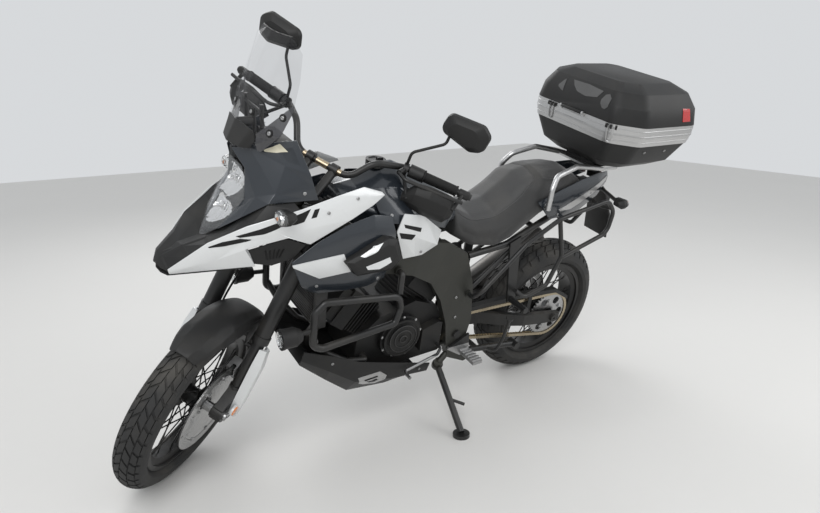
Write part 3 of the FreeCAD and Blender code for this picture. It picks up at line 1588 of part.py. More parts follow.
bracket += [
    rod(vec(557, -62, 1190), vec(557, 62, 1190), 5),
    rod(vec(562, -62, 1280), vec(562, 62, 1280), 5),
    rod(vec(556, 62, 1160), vec(500, 62, 1150), 6),
    rod(vec(556, -62, 1160), vec(500, -62, 1150), 6),
]
knob = largest(Part.makeCylinder(14, 60, vec(566, 0, 1236), X).cut(screen_front))
bracket.append(fused([rod(vec(557, 0, 1190), vec(562, 0, 1280), 6), knob]))
dash = rings([
    [(462, 84, 1188), (462, -84, 1188), (486, -84, 1098), (486, 84, 1098)],
    [(520, 78, 1196), (520, -78, 1196), (532, -78, 1112), (532, 78, 1112)],
])
stay = rod(vec(505, 70, 1140), vec(505, 160, 1140), 7)
stay = largest(stay.cut(room(cowl, Y * (-float(size.panel_wall) - float(size.seat_gap)), Y * 60)))
feature("instruments", fused(bracket + [dash, stay, stay.mirror(Vector(), Y)]), REST)

# Turn signals, on short stalks.
signals = []
for root, tip, forward in (
    (vec(546, 176, 1022), vec(548, 210, 1030), 1), (vec(-975, 40, 884), vec(-915, 186, 886), -1),
):
    stalk = rod(root, tip, 8)
    middle = tip + Y * 18
    ring = [
        middle + vec(0, -28, -16), middle + vec(0, 18, -20), middle + vec(0, 32, 0),
        middle + vec(0, 18, 20), middle + vec(0, -28, 16),
    ]
    sections = []
    for step, share in ((-26, 0.5), (-6, 1.0), (10, 1.0), (22, 0.62)):
        around = [middle + (point - middle) * share + X * step * forward for point in ring]
        sections.append(rounded(around, 9 * share, True))
    signals.append(fused([stalk, loft(sections)]))

# Tail: side covers with a bright blade, the tail lamp and the plate's holder.
tail_cover = (
    ((-520, 134, 906), (-640, 124, 940), (-760, 106, 962), (-880, 84, 972), (-962, 62, 968)),
    ((-566, 140, 858), (-660, 134, 880), (-770, 118, 908), (-890, 94, 934), (-968, 66, 946)),
    ((-600, 134, 826), (-680, 130, 826), (-766, 120, 832), (-900, 92, 880), (-972, 62, 920)),
)
tail_boss = Part.makeCylinder(12, 13, vec(-556, 129, 895), Y)
tail_cover = fused([skin(tail_cover, inward), tail_boss])
feature("tail_covers", both_sides(tail_cover), REST)
lamp = rings([
    [(-962, 46, 950), (-962, -46, 950), (-962, -40, 912), (-962, 40, 912)],
    [(-992, 40, 944), (-992, -40, 944), (-990, -34, 916), (-990, 34, 916)],
])
holder = fused([
    rings([
        [(-800, 58, 872), (-800, -58, 872), (-800, -58, 862), (-800, 58, 862)],
        [(-960, 56, 905), (-960, -56, 905), (-950, -56, 892), (-950, 56, 892)],
        [(-1010, 52, 868), (-1010, -52, 868), (-1000, -52, 860), (-1000, 52, 860)],
        [(-1056, 66, 760), (-1056, -66, 760), (-1048, -66, 756), (-1048, 66, 756)],
        [(-1076, 66, 640), (-1076, -66, 640), (-1068, -66, 640), (-1068, 66, 640)],
    ]),
    Part.makeBox(52, 44, 18, vec(-1084, -22, 800)),
])
feature("plate_holder", holder, REST)
for neighbour in (wing, beak[0]):
    signals[0] = clear_of(signals[0], neighbour)
signals[1] = clear_of(signals[1], holder)
feature("signal_lamps", solids([both_sides(signal) for signal in signals] + [lamp]), REST)

# Carrier: grab rails round the seat's tail and the plate that takes the top case.
carrier = []
for side in (1, -1):
    carrier.append(tube(
        [vec(-556, side * 156, 880), vec(-560, side * 150, 962), vec(-590, side * 134, 1006),
         vec(-700, side * 122, 1032), vec(-800, side * 104, 1014), vec(-880, side * 88, 996),
         vec(-1000, side * 66, 984)],
        11, 40,
    ))
    foot_end = 142 + float(size.seat_gap)
    carrier.append(rod(vec(-556, side * 158, 895), vec(-556, side * foot_end, 895), 9))
carrier.append(rod(vec(-1000, -66, 984), vec(-1000, 66, 984), 10))
deck = Part.makeBox(230, 190, 8, vec(-1046, -95, 1000))
carrier.append(deck.fuse([
    rod(vec(-880, side * 88, 996), vec(-880, side * 78, 1003), 9) for side in (1, -1)
]))
holes = [
    Part.makeCylinder(3.3, 30, vec(station, side * 62, 990))
    for station in (-1010, -860) for side in (1, -1)
]
rack = fused(carrier)
for hole in holes:
    rack = rack.cut(hole)
feature("rear_carrier", rack, REST)

# Top case: a base with its aluminium band, and a lid hinged at the front.
case_length = float(size.case_length)
case_width = float(size.case_width)
case_middle = -float(size.case_middle)
case_wall = float(size.case_wall)
floor, band_low = float(size.case_floor), float(size.case_band_low)
band_high, top = float(size.case_band_high), float(size.case_top)


def case_ring(level, share_long, share_wide, inset=0.0):
    """A rounded outline of the case, a share of its full length and width."""
    long = case_length / 2 * share_long - inset
    wide = case_width / 2 * share_wide - inset
    nose = 0.72
    corners = [
        (long, wide * nose), (long * 0.55, wide), (-long * 0.8, wide), (-long, wide * 0.8),
        (-long, -wide * 0.8), (-long * 0.8, -wide), (long * 0.55, -wide), (long, -wide * nose),
    ]
    bend = 60 * share_long - inset * 0.5
    points = [vec(case_middle + across, left, level) for across, left in corners]
    return rounded(points, bend, True)


def case_shell(levels, wall, open_top):
    """A loft of outlines, hollowed to the wall and open at the top or the bottom."""
    outside = loft([case_ring(*row) for row in levels])
    hollow = []
    for index, (level, share_long, share_wide) in enumerate(levels):
        shift = 0
        if open_top:
            shift = wall if index == 0 else (0.5 if index == len(levels) - 1 else 0)
        else:
            shift = -0.5 if index == 0 else (-wall if index == len(levels) - 1 else 0)
        hollow.append(case_ring(level + shift, share_long, share_wide, wall))
    return outside.cut(loft(hollow))


base = case_shell(
    ((floor, 0.62, 0.60), (floor + 34, 0.84, 0.80), (band_low - 0.3, 0.97, 0.96)), case_wall, True,
)
foot = Part.makeBox(200, 150, floor - 1008 + 2, vec(-1040, -75, 1008.2))
base = fused([base, foot])
band = case_shell(
    ((band_low, 0.98, 0.97), ((band_low + band_high) / 2, 1.0, 1.0), (band_high, 1.0, 1.0)),
    case_wall, True,
)
opening = loft([
    case_ring(band_low - 1, 0.97, 0.96, case_wall),
    case_ring(band_low + 8, 0.98, 0.97, case_wall),
])
band = band.cut(opening)
hinge = vec(case_middle + case_length / 2 + 8, 0, band_high + 0.15)
knuckle_half, pin_radius = 50, 3
pin = Part.makeCylinder(pin_radius, 2 * knuckle_half + 24, hinge - Y * (knuckle_half + 12), Y)
ears = []
for side in (1, -1):
    ear = Part.makeCylinder(7, 8, hinge + Y * side * (knuckle_half + 4), Y * side)
    corner = hinge + vec(-9, knuckle_half + 4 if side > 0 else -knuckle_half - 12, -12)
    ears.append(ear.fuse(Part.makeBox(9, 8, 12, corner)))
feature("case_base", base, REST)
feature("case_band", fused([band, pin] + ears), REST)
lid = case_shell(
    ((band_high + 0.3, 1.0, 1.0), (band_high + 60, 0.97, 0.95), (top - 26, 0.86, 0.82),
     (top, 0.64, 0.60)),
    case_wall, False,
)
knuckle = Part.makeCylinder(7, 2 * knuckle_half, hinge - Y * knuckle_half, Y)
leaf = Part.makeBox(12, 2 * knuckle_half, 6, hinge + vec(-12, -knuckle_half, 0.85))
lid = fused([lid, knuckle, leaf])
lid = lid.cut(Part.makeCylinder(pin_radius + 0.1, 2 * knuckle_half, hinge - Y * knuckle_half, Y))
feature("case_lid", lid, REST)

# Pannier racks at the sides.
racks = []
for side in (1, -1):
    wide = side * 200
    bars = [
        tube(
            [rack_boss + Y * side * (150 + float(size.seat_gap)), rack_boss + Y * side * 172,
             vec(-262, wide, 604), vec(-440, wide, 775),
             vec(-590, wide, 858), vec(-840, wide, 905), vec(-892, wide, 850),
             vec(-886, wide, 755), vec(-650, wide, 682)],
            size.rack_tube_radius, 50,
        ),
        tube(
            [vec(-590, wide, 850), vec(-648, wide, 690), vec(-600, wide, 560),
             vec(-500, side * 190, 520), vec(-448, side * 186, 560)],
            size.rack_tube_radius, 40,
        ),
        tube(
            [vec(-700, wide, 878), vec(-696, side * 164, 812), vec(-690, side * 142, 812),
             vec(-690, side * 120.3, 812)], 8, 20,
        ),
        tube(
            [vec(-880, wide, 866), vec(-880, side * 150, 853), vec(-880, side * 100.3, 853)], 8, 20,
        ),
    ]
    racks.append(fused(bars))
feature("pannier_racks", solids(racks), REST)

# Foot pegs and their hangers.
pegs = []
for side in (1, -1):
    hanger = prism(
        [vec(-180, side * 145.3, 330), vec(-280, side * 145.3, 380),
         vec(-292, side * 145.3, 300), vec(-250, side * 145.3, 284)], Y * side * 10,
    )
    peg = Part.makeBox(44, 92, 14, vec(-292, 152 if side > 0 else -244, 294))
    teeth = []
    for index in range(5):
        teeth.append(Part.makeBox(44, 5, 6, vec(-292, side * (170 + index * 16) - 2.5, 307.9)))
    pegs.append(fused([hanger, peg] + teeth))
    drop = rings([
        [(-420, side * 126, 748), (-470, side * 126, 770), (-470, side * 135, 770),
         (-420, side * 135, 748)],
        [(-446, side * 150, 490), (-486, side * 150, 500), (-486, side * 159, 500),
         (-446, side * 159, 490)],
    ])
    rear_peg = Part.makeCylinder(13, 92, vec(-464, side * 158, 500), Y * side)
    pegs.append(fused([drop, rear_peg]))

shift = tube(
    [vec(-138, 136.3, 358), vec(-138, 164, 354), vec(-120, 172, 336), vec(20, 172, 300),
     vec(28, 188, 300), vec(28, 218, 300)], 6, 10,
)
pedal = tube(
    [vec(-205, -155.6, 330), vec(-195, -170, 326), vec(-150, -178, 300), vec(0, -178, 296), vec(10, -190, 296),
     vec(10, -222, 296)], 7, 10,
)
feature("foot_pegs", solids(pegs + [shift, pedal]), REST)

# Rear suspension unit, the chain's guard and the rear caliper.
shock_low, shock_high = vec(-330, 0, 440), vec(-262, 0, 700)
shock_along = (shock_high - shock_low).normalize()
damper = rod(shock_low, shock_high, 24)
collar_low, collar_high = 52, 214
collars = [
    Part.makeCylinder(46, 8, shock_low + shock_along * along, shock_along)
    for along in (collar_low, collar_high)
]
coil_radius, wire_radius = 38, 6.5
helix = Part.makeHelix(23, collar_high - collar_low - 4, coil_radius)
ring = Part.Wire(Part.makeCircle(wire_radius, vec(coil_radius, 0, 0), Y))
spring = Part.Wire(helix).makePipeShell([ring], True, True)
spring.Placement = Placement(
    shock_low + shock_along * (collar_low + 6), Rotation(Z, shock_along),
)
feature("shock", fused([damper, spring] + collars), REST)

guard_path = [(-300, 462), (-600, 462), (-780, 448), (-866, 396)]
guard_top = [[(x, 112, z - 10), (x, 108, z + 2), (x, 84, z + 4)] for x, z in guard_path]
guard = skin(guard_top, vec(0, 0, 4))
stay = seated(Part.makeBox(20, 4, 118, vec(-640, 107, 345)), swingarm, Z)
feature("chain_guard", fused([guard, stay]), REST)
rear_place, rear_disc = float(size.rear_disc_place), float(size.rear_disc_radius)
brake = caliper(rear_axle, rear_place, math.radians(55), rear_disc, -1, 62, 104)
foot = Part.makeBox(26, 22, 70, vec(-726, -122, 330))
foot = seated(foot, swingarm, Z)
feature("rear_caliper", fused([brake, foot]), REST)


# Stands. The side stand's foot lies flat on the ground that the machine leans to.
leg = tube([stand_pivot + leg_along * 18.5, foot_spot], size.stand_tube_radius, 10)
pad = Part.makeCylinder(32, 14, foot_ground)
pad.Placement = to_upright.multiply(pad.Placement)
eye = Part.makeCylinder(22, 16, stand_pivot - side_stand_axis * 8, side_stand_axis)
spur = rod(stand_pivot + leg_along * 150, stand_pivot + leg_along * 175 - folded_along * -52, 6)
side_stand = fused([leg, pad, eye, spur])
side_stand = side_stand.cut(
    Part.makeCylinder(8.1, 60, stand_pivot - side_stand_axis * 30, side_stand_axis),
)
feature("side_stand", side_stand, REST)

centre_pivot = vec(-300, 0, 262)
legs = []
for side in (1, -1):
    legs.append(tube(
        [centre_pivot + Y * side * 96, vec(-330, side * 100, 250), vec(-560, side * 138, 246)],
        13, 40,
    ))
    legs.append(Part.makeCylinder(16, 50, vec(-560, side * 138 - 25, 246), Y))
legs.append(rod(vec(-380, -107, 249), vec(-380, 107, 249), 11))
legs.append(rod(centre_pivot - Y * 127.7, centre_pivot + Y * 127.7, 13))
legs.append(tube(
    [vec(-420, 114, 248), vec(-440, 160, 252), vec(-452, 176, 330), vec(-462, 180, 420)], 7, 30,
))
legs.append(Part.makeCylinder(15, 8, vec(-462, 178, 420), vec(0.2, 0.4, 1)))
feature("centre_stand", fused(legs), REST)
doc.recompute()

# Every object is sound before anything is written.
for item in doc.Objects:
    faults = [state for state in item.State if state in ("Invalid", "Error")]
    if faults:
        raise RuntimeError("%s is %s" % (item.Label, faults))
for part in parts:
    if part.Shape.isNull() or not part.Shape.isValid():
        raise RuntimeError("%s has no sound shape" % part.Label)

os.makedirs("parts", exist_ok=True)
for part in parts:
    part.Shape.exportStep("parts/%s.step" % part.Label)
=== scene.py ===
import json
import math

import bmesh
import bpy
from mathutils import Matrix, Vector
from mathutils.bvhtree import BVHTree
from mathutils.kdtree import KDTree


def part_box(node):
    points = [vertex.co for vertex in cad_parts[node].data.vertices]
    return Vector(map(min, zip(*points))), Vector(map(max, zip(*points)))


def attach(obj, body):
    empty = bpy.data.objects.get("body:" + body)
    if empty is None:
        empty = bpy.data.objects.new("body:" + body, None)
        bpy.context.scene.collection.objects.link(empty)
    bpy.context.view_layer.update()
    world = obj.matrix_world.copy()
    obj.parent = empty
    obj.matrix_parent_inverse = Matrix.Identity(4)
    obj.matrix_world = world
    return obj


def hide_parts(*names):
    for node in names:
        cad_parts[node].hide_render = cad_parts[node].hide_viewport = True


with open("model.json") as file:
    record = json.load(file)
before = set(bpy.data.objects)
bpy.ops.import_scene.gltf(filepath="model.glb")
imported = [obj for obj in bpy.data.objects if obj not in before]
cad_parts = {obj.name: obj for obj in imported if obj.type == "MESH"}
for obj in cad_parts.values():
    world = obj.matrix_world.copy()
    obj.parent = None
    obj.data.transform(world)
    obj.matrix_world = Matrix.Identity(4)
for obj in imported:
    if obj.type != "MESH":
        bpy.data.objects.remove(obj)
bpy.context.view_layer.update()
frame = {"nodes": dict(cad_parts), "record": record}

# The upright machine's own directions: its left is the rear axle, and the steering axis
# leans back from its up by the rake.
joints = {joint["name"]: joint for joint in frame["record"]["behaviour"]["joints"]}
rake = math.radians(25.5)
steering_lock = math.radians(40)
rear_axle_upright = Vector((-0.7775, 0, 0.321))
bike_left = Vector(joints["rear_wheel_spin"]["axis"]).normalized()
steer_up = Vector(joints["steering"]["axis"]).normalized()
steer_ahead = bike_left.cross(steer_up)
bike_forward = steer_ahead * math.cos(rake) - steer_up * math.sin(rake)
bike_up = steer_ahead * math.sin(rake) + steer_up * math.cos(rake)
rear_centre = Vector(joints["rear_wheel_spin"]["pos_m"])
front_centre = Vector(joints["front_wheel_spin"]["pos_m"])
front_axle = Vector(joints["front_wheel_spin"]["axis"]).normalized()
bike_axes = Matrix((bike_forward, bike_left, bike_up)).transposed()
bike_origin = rear_centre - bike_axes @ rear_axle_upright
steer_foot = Vector(joints["steering"]["pos_m"])
steer_turn = Matrix.Rotation(steering_lock, 3, steer_up)


def bike(x, y, z):
    """A place on the upright machine in millimetres, as it stands in the scene."""
    return bike_origin + bike_axes @ (Vector((x, y, z)) / 1000)


def on_bars(x, y, z):
    """A place on the unsteered fork in millimetres, as it stands in the scene."""
    return steer_foot + steer_turn @ (bike(x, y, z) - steer_foot)


def bars_way(x, y, z):
    """A direction on the unsteered fork, as it points in the scene."""
    return steer_turn @ (bike_axes @ Vector((x, y, z)))


# The camera stands where the photograph was taken from.
camera_place = Vector((1.28837, 1.93509, 1.31102))
camera_yaw, camera_pitch, camera_roll = -2.14779682, -0.26940674, -0.0038154
ahead = Vector((
    math.cos(camera_pitch) * math.cos(camera_yaw),
    math.cos(camera_pitch) * math.sin(camera_yaw),
    math.sin(camera_pitch),
))
level = Vector((math.sin(camera_yaw), -math.cos(camera_yaw), 0))
above = level.cross(ahead)
right = level * math.cos(camera_roll) + above * math.sin(camera_roll)
upward = above * math.cos(camera_roll) - level * math.sin(camera_roll)
photo_width, focal_length_in_pixels = 820, 649.823
camera_data = bpy.data.cameras.new("camera")
camera_data.sensor_width = 36
camera_data.lens = camera_data.sensor_width * focal_length_in_pixels / photo_width
camera_data.clip_start = 0.05
camera = bpy.data.objects.new("camera", camera_data)
bpy.context.scene.collection.objects.link(camera)
camera.matrix_world = Matrix((
    (right.x, upward.x, -ahead.x, camera_place.x),
    (right.y, upward.y, -ahead.y, camera_place.y),
    (right.z, upward.z, -ahead.z, camera_place.z),
    (0, 0, 0, 1),
))
bpy.context.scene.camera = camera


# Node helpers.
def wire(tree, value, socket):
    """Links a value that comes from a node, or writes a plain one on the socket."""
    if isinstance(value, bpy.types.NodeSocket):
        tree.links.new(value, socket)
    else:
        socket.default_value = value


def node(tree, kind, inputs=(), **settings):
    """A node with its settings, and its inputs given by name or number."""
    made = tree.nodes.new(kind)
    for label, value in settings.items():
        setattr(made, label, value)
    for label, value in dict(inputs).items():
        wire(tree, value, made.inputs[label])
    return made


def maths(tree, operation, *values):
    """A sum on numbers."""
    made = node(tree, "ShaderNodeMath", dict(enumerate(values)), operation=operation)
    return made.outputs[0]


def plus(tree, first, second):
    """Two numbers added."""
    return maths(tree, "ADD", first, second)


def times(tree, first, second):
    """Two numbers multiplied."""
    return maths(tree, "MULTIPLY", first, second)


def vector_maths(tree, operation, *values):
    """A sum on vectors."""
    made = node(tree, "ShaderNodeVectorMath", dict(enumerate(values)), operation=operation)
    return made.outputs["Value"] if operation in ("DOT_PRODUCT", "LENGTH") else made.outputs[0]


def stretch(tree, value, low, high, out_low=0.0, out_high=1.0):
    """A value's range carried over to another range, and held at its ends."""
    made = node(tree, "ShaderNodeMapRange", {
        "Value": value, "From Min": low, "From Max": high, "To Min": out_low, "To Max": out_high,
    })
    return made.outputs["Result"]


def mixed(tree, share, first, second):
    """A colour between two colours."""
    made = node(tree, "ShaderNodeMix", data_type="RGBA")
    wire(tree, share, made.inputs[0])
    wire(tree, first, made.inputs[6])
    wire(tree, second, made.inputs[7])
    return made.outputs[2]


def here(tree):
    """The place on the object that is being coloured."""
    return node(tree, "ShaderNodeTexCoord").outputs["Object"]


def reach(tree, place, way):
    """How far a place lies along a fixed direction."""
    return vector_maths(tree, "DOT_PRODUCT", place, tuple(way))


def noise(tree, scale, detail=3.0, vector=None):
    """Cloudy noise over the object, or over another vector."""
    made = node(tree, "ShaderNodeTexNoise", {
        "Vector": here(tree) if vector is None else vector, "Scale": scale, "Detail": detail,
    })
    return made.outputs["Fac"]


def effect(name, inputs, outputs):
    """An empty node group with named sockets."""
    tree = bpy.data.node_groups.new(name, "ShaderNodeTree")
    for label, kind, value in inputs:
        socket = tree.interface.new_socket(label, in_out="INPUT", socket_type=kind)
        socket.default_value = value
    for label, kind in outputs:
        tree.interface.new_socket(label, in_out="OUTPUT", socket_type=kind)
    return tree, node(tree, "NodeGroupInput").outputs, node(tree, "NodeGroupOutput").inputs


FLOAT, VECTOR = "NodeSocketFloat", "NodeSocketVector"


def road_dust_effect():
    """Dust that settles on what faces up, in soft patches."""
    tree, given, put = effect(
        "road_dust", [("Amount", FLOAT, 0.2), ("Scale", FLOAT, 9.0)], [("Mask", FLOAT)],
    )
    normal = node(tree, "ShaderNodeNewGeometry").outputs["Normal"]
    tilt = node(tree, "ShaderNodeSeparateXYZ", {0: normal}).outputs["Z"]
    lying = stretch(tree, tilt, -0.3, 1.0, 0.25, 1.0)
    clouds = stretch(tree, noise(tree, given["Scale"], 6.0), 0.42, 0.75)
    wire(tree, times(tree, times(tree, lying, clouds), given["Amount"]), put["Mask"])
    return tree


def moulded_grain_effect():
    """The fine leathery grain of moulded plastic."""
    tree, given, put = effect(
        "moulded_grain", [("Scale", FLOAT, 900.0), ("Depth", FLOAT, 1.0)], [("Height", FLOAT)],
    )
    cells = node(tree, "ShaderNodeTexVoronoi", {"Vector": here(tree), "Scale": given["Scale"]})
    fine = noise(tree, given["Scale"], 2.0)
    height = plus(tree, cells.outputs["Distance"], fine)
    wire(tree, times(tree, height, given["Depth"]), put["Height"])
    return tree


def tone_effect():
    """Slow changes of tone over a surface, with finer specks in them."""
    tree, given, put = effect(
        "surface_tone", [("Scale", FLOAT, 6.0), ("Spread", FLOAT, 0.5)], [("Tone", FLOAT)],
    )
    slow = noise(tree, given["Scale"], 4.0)
    fine = noise(tree, times(tree, given["Scale"], 14.0), 2.0)
    both = plus(tree, times(tree, slow, 0.7), times(tree, fine, 0.3))
    centred = maths(tree, "SUBTRACT", both, 0.5)
    tone = plus(tree, times(tree, centred, given["Spread"]), 0.5)
    wire(tree, tone, put["Tone"])
    return tree


def axle_effect():
    """Rings round an axle, by the way forward and the way across it."""
    tree, given, put = effect(
        "round_an_axle", [("Centre", VECTOR, (0, 0, 0)), ("Axle", VECTOR, (0, 1, 0))],
        [("Radius", FLOAT)],
    )
    place = vector_maths(tree, "SUBTRACT", here(tree), given["Centre"])
    forward = 1, 0, 0
    across = vector_maths(tree, "CROSS_PRODUCT", given["Axle"], forward)
    along = vector_maths(tree, "DOT_PRODUCT", place, forward)
    beside = vector_maths(tree, "DOT_PRODUCT", place, across)
    squares = plus(tree, times(tree, along, along), times(tree, beside, beside))
    wire(tree, maths(tree, "SQRT", squares), put["Radius"])
    return tree


def brushed_effect():
    """Fine lines left by a belt or a lathe, long in one direction."""
    tree, given, put = effect(
        "brushed_lines",
        [("Along", VECTOR, (1, 0, 0)), ("Fineness", FLOAT, 900.0)], [("Lines", FLOAT)],
    )
    place = here(tree)
    share = vector_maths(tree, "DOT_PRODUCT", place, given["Along"])
    kept = node(tree, "ShaderNodeVectorMath", {0: given["Along"]}, operation="SCALE")
    wire(tree, times(tree, share, 0.97), kept.inputs["Scale"])
    squeezed = vector_maths(tree, "SUBTRACT", place, kept.outputs[0])
    wire(tree, noise(tree, given["Fineness"], 2.0, squeezed), put["Lines"])
    return tree


ROAD_DUST = road_dust_effect()
MOULDED_GRAIN = moulded_grain_effect()
SURFACE_TONE = tone_effect()
ROUND_AN_AXLE = axle_effect()
BRUSHED_LINES = brushed_effect()


def placed(tree, group, **inputs):
    """A shared effect placed in a material with its own values."""
    made = node(tree, "ShaderNodeGroup", node_tree=group)
    for label, value in inputs.items():
        wire(tree, value, made.inputs[label])
    return made.outputs


def surface(name, roughness, **sockets):
    """A new material with its shader; constant values go on the shader's own sockets."""
    material = bpy.data.materials.new(name)
    material.use_nodes = True
    tree = material.node_tree
    shader = tree.nodes["Principled BSDF"]
    wire(tree, roughness, shader.inputs["Roughness"])
    for label, value in sockets.items():
        shader.inputs[label.replace("_", " ")].default_value = value
    return material, tree, shader.inputs


DUST_COLOUR = (0.30, 0.27, 0.22, 1)


def painted(tree, sockets, low, high, scale=6.0, dust=0.12, spread=0.9):
    """Base colour between two tones with dust over it."""
    tone = placed(tree, SURFACE_TONE, Scale=scale, Spread=spread)["Tone"]
    colour = mixed(tree, tone, low, high)
    mask = placed(tree, ROAD_DUST, Amount=dust)["Mask"]
    colour = mixed(tree, mask, colour, DUST_COLOUR)
    wire(tree, colour, sockets["Base Color"])
    return tone, mask


def bumped(tree, sockets, height, distance):
    """Relief from a height that changes over the surface, as deep as distance in metres."""
    bump = node(tree, "ShaderNodeBump", {"Height": height, "Distance": distance})
    wire(tree, bump.outputs[0], sockets["Normal"])


def worn(tree, sockets, value, low, high, smooth, rough, dust=None):
    """Roughness from a value that changes over the surface, higher where dust lies."""
    result = stretch(tree, value, low, high, smooth, rough)
    wire(tree, result if dust is None else plus(tree, result, dust), sockets["Roughness"])


def grey(value):
    """A neutral colour."""
    return (value, value, value, 1)


def matte_plastic(name, value, scale=700.0, depth=0.00004, roughness=0.52, dust=0.1):
    """Moulded plastic with its grain."""
    material, tree, sockets = surface(name, roughness, Specular_IOR_Level=0.32)
    tone, mask = painted(tree, sockets, grey(value * 0.7), grey(value * 1.35), 7.0, dust * 0.6)
    worn(tree, sockets, tone, 0.2, 0.8, roughness - 0.06, roughness + 0.08, mask)
    grain = placed(tree, MOULDED_GRAIN, Scale=scale, Depth=1.0)["Height"]
    bumped(tree, sockets, grain, depth)
    return material


def lacquer(name, low, high, flakes=0.0, roughness=0.3, dust=0.03):
    """Sprayed paint under a clear coat, with metal flakes where it has them."""
    material, tree, sockets = surface(
        name, roughness, Coat_Weight=0.7, Coat_Roughness=0.08, Metallic=flakes,
    )
    painted(tree, sockets, low, high, 4.0, dust, 0.6)
    peel = noise(tree, 420.0, 2.0)
    sparkle = noise(tree, 5200.0, 1.0)
    worn(tree, sockets, sparkle, 0.3, 0.7, roughness - 0.08, roughness + 0.1)
    bumped(tree, sockets, peel, 0.00003)
    return material


def satin_paint(name, low, high, roughness=0.38, metallic=0.0, dust=0.1):
    """Powder coat or satin paint on metal, with its slight orange peel."""
    material, tree, sockets = surface(name, roughness, Metallic=metallic)
    tone, mask = painted(tree, sockets, low, high, 8.0, dust)
    worn(tree, sockets, tone, 0.2, 0.8, roughness - 0.07, roughness + 0.1, mask)
    bumped(tree, sockets, noise(tree, 650.0, 3.0), 0.00006)
    return material


def brushed_metal(name, low, high, along, roughness=0.3, dust=0.06):
    """Bare metal with the lines that its finishing left."""
    material, tree, sockets = surface(name, roughness, Metallic=1.0)
    painted(tree, sockets, low, high, 5.0, dust, 0.7)
    lines = placed(tree, BRUSHED_LINES, Along=along)["Lines"]
    worn(tree, sockets, lines, 0.25, 0.75, roughness - 0.1, roughness + 0.14)
    bumped(tree, sockets, lines, 0.00003)
    return material


def cast_metal(name, low, high, roughness=0.5, metallic=0.5, dust=0.16):
    """Sand-cast metal under thin paint, with pits and a little grime."""
    material, tree, sockets = surface(name, roughness, Metallic=metallic)
    tone, mask = painted(tree, sockets, low, high, 12.0, dust)
    worn(tree, sockets, tone, 0.2, 0.8, roughness - 0.08, roughness + 0.12, mask)
    pits = plus(tree, noise(tree, 260.0, 5.0), times(tree, noise(tree, 1300.0), 0.5))
    bumped(tree, sockets, pits, 0.00022)
    return material


# Finishes of this machine. Plastics: tone, grain's scale and depth in metres, roughness and
# dust. Paints and metals: their low and high tones, then roughness, metal and dust.
along_it, across_it = tuple(bike_forward), tuple(bike_left)
body_dark = lacquer("body_dark_blue_black", (0.012, 0.016, 0.022, 1), (0.022, 0.028, 0.036, 1),
                    0.25)
body_white = lacquer("body_white_pearl", (0.60, 0.61, 0.61, 1), (0.72, 0.73, 0.73, 1), 0.12, 0.34)
case_black = matte_plastic("case_black_grained", 0.016, 520.0, 0.00009, 0.5, 0.06)
black_plastic = matte_plastic("black_plastic_fine", 0.014, 800.0, 0.00005, 0.5, 0.08)
grey_plastic = matte_plastic("grey_plastic_inlay", 0.085, 800.0, 0.00004, 0.42, 0.05)
black_metal = satin_paint("black_powder_coat", grey(0.008), grey(0.017))
frame_grey = satin_paint("frame_dark_olive_grey", (0.030, 0.031, 0.027, 1),
                         (0.050, 0.050, 0.044, 1), 0.40, 0.5)
engine_black = cast_metal("engine_cast_black", grey(0.010), grey(0.026))
engine_grey = cast_metal("engine_cover_grey", grey(0.05), grey(0.09), 0.42, 0.8)
swingarm_black = cast_metal("swingarm_black", grey(0.014), grey(0.028), 0.42, 0.4, 0.2)
aluminium = brushed_metal("aluminium_brushed", grey(0.44), grey(0.60), along_it, 0.34)
aluminium_cast = cast_metal("aluminium_cast", grey(0.36), grey(0.50), 0.42, 0.9, 0.08)
steel = brushed_metal("steel_ground", grey(0.33), grey(0.50), across_it, 0.3, 0.08)
chain_steel = brushed_metal("chain_steel_oiled", (0.30, 0.25, 0.17, 1), (0.52, 0.45, 0.33, 1),
                            along_it, 0.34, 0.12)
wheel_black = satin_paint("rim_black_anodised", grey(0.010), grey(0.018), 0.3, 0.4, 0.14)
grip_rubber = matte_plastic("grip_rubber", 0.010, 380.0, 0.00016, 0.7, 0.05)
champagne = brushed_metal("champagne_anodised", (0.46, 0.37, 0.25, 1), (0.60, 0.50, 0.36, 1),
                          across_it, 0.3, 0.02)
cable_rubber = matte_plastic("cable_rubber", 0.009, 300.0, 0.00008, 0.45, 0.06)
# Near-black for dark parts, and for painted shade in the panels' slots and louvres.
dark_inset_and_painted_shade = matte_plastic("dark_inset_and_painted_shade", 0.007, 800.0, 0.00004, 0.6, 0.02)
wall_line_pitch = 0.0042


def tyre_finish(name, centre, axle):
    """Rubber with fine moulding lines round its walls."""
    material, tree, sockets = surface(name, 0.72)
    tone = painted(tree, sockets, grey(0.010), grey(0.022), 10.0, 0.22)[0]
    around = placed(tree, ROUND_AN_AXLE, Centre=tuple(centre), Axle=tuple(axle))["Radius"]
    lines = maths(tree, "SINE", times(tree, around, 2 * math.pi / wall_line_pitch))
    grain = placed(tree, MOULDED_GRAIN, Scale=420.0, Depth=1.0)["Height"]
    height = plus(tree, grain, times(tree, lines, 0.25))
    worn(tree, sockets, tone, 0.2, 0.8, 0.6, 0.85)
    bumped(tree, sockets, height, 0.00012)
    return material


def turned_finish(name, centre, axle, pitch=0.0016, roughness=0.28):
    """Steel with the rings that grinding left round its centre."""
    material, tree, sockets = surface(name, roughness, Metallic=1.0)
    painted(tree, sockets, grey(0.38), grey(0.56), 9.0, 0.05)
    around = placed(tree, ROUND_AN_AXLE, Centre=tuple(centre), Axle=tuple(axle))["Radius"]
    outward = node(tree, "ShaderNodeCombineXYZ", {0: around}).outputs[0]
    rings = noise(tree, 1.0 / pitch, 2.0, outward)
    worn(tree, sockets, rings, 0.3, 0.7, roughness - 0.08, roughness + 0.14)
    bumped(tree, sockets, rings, 0.00003)
    return material


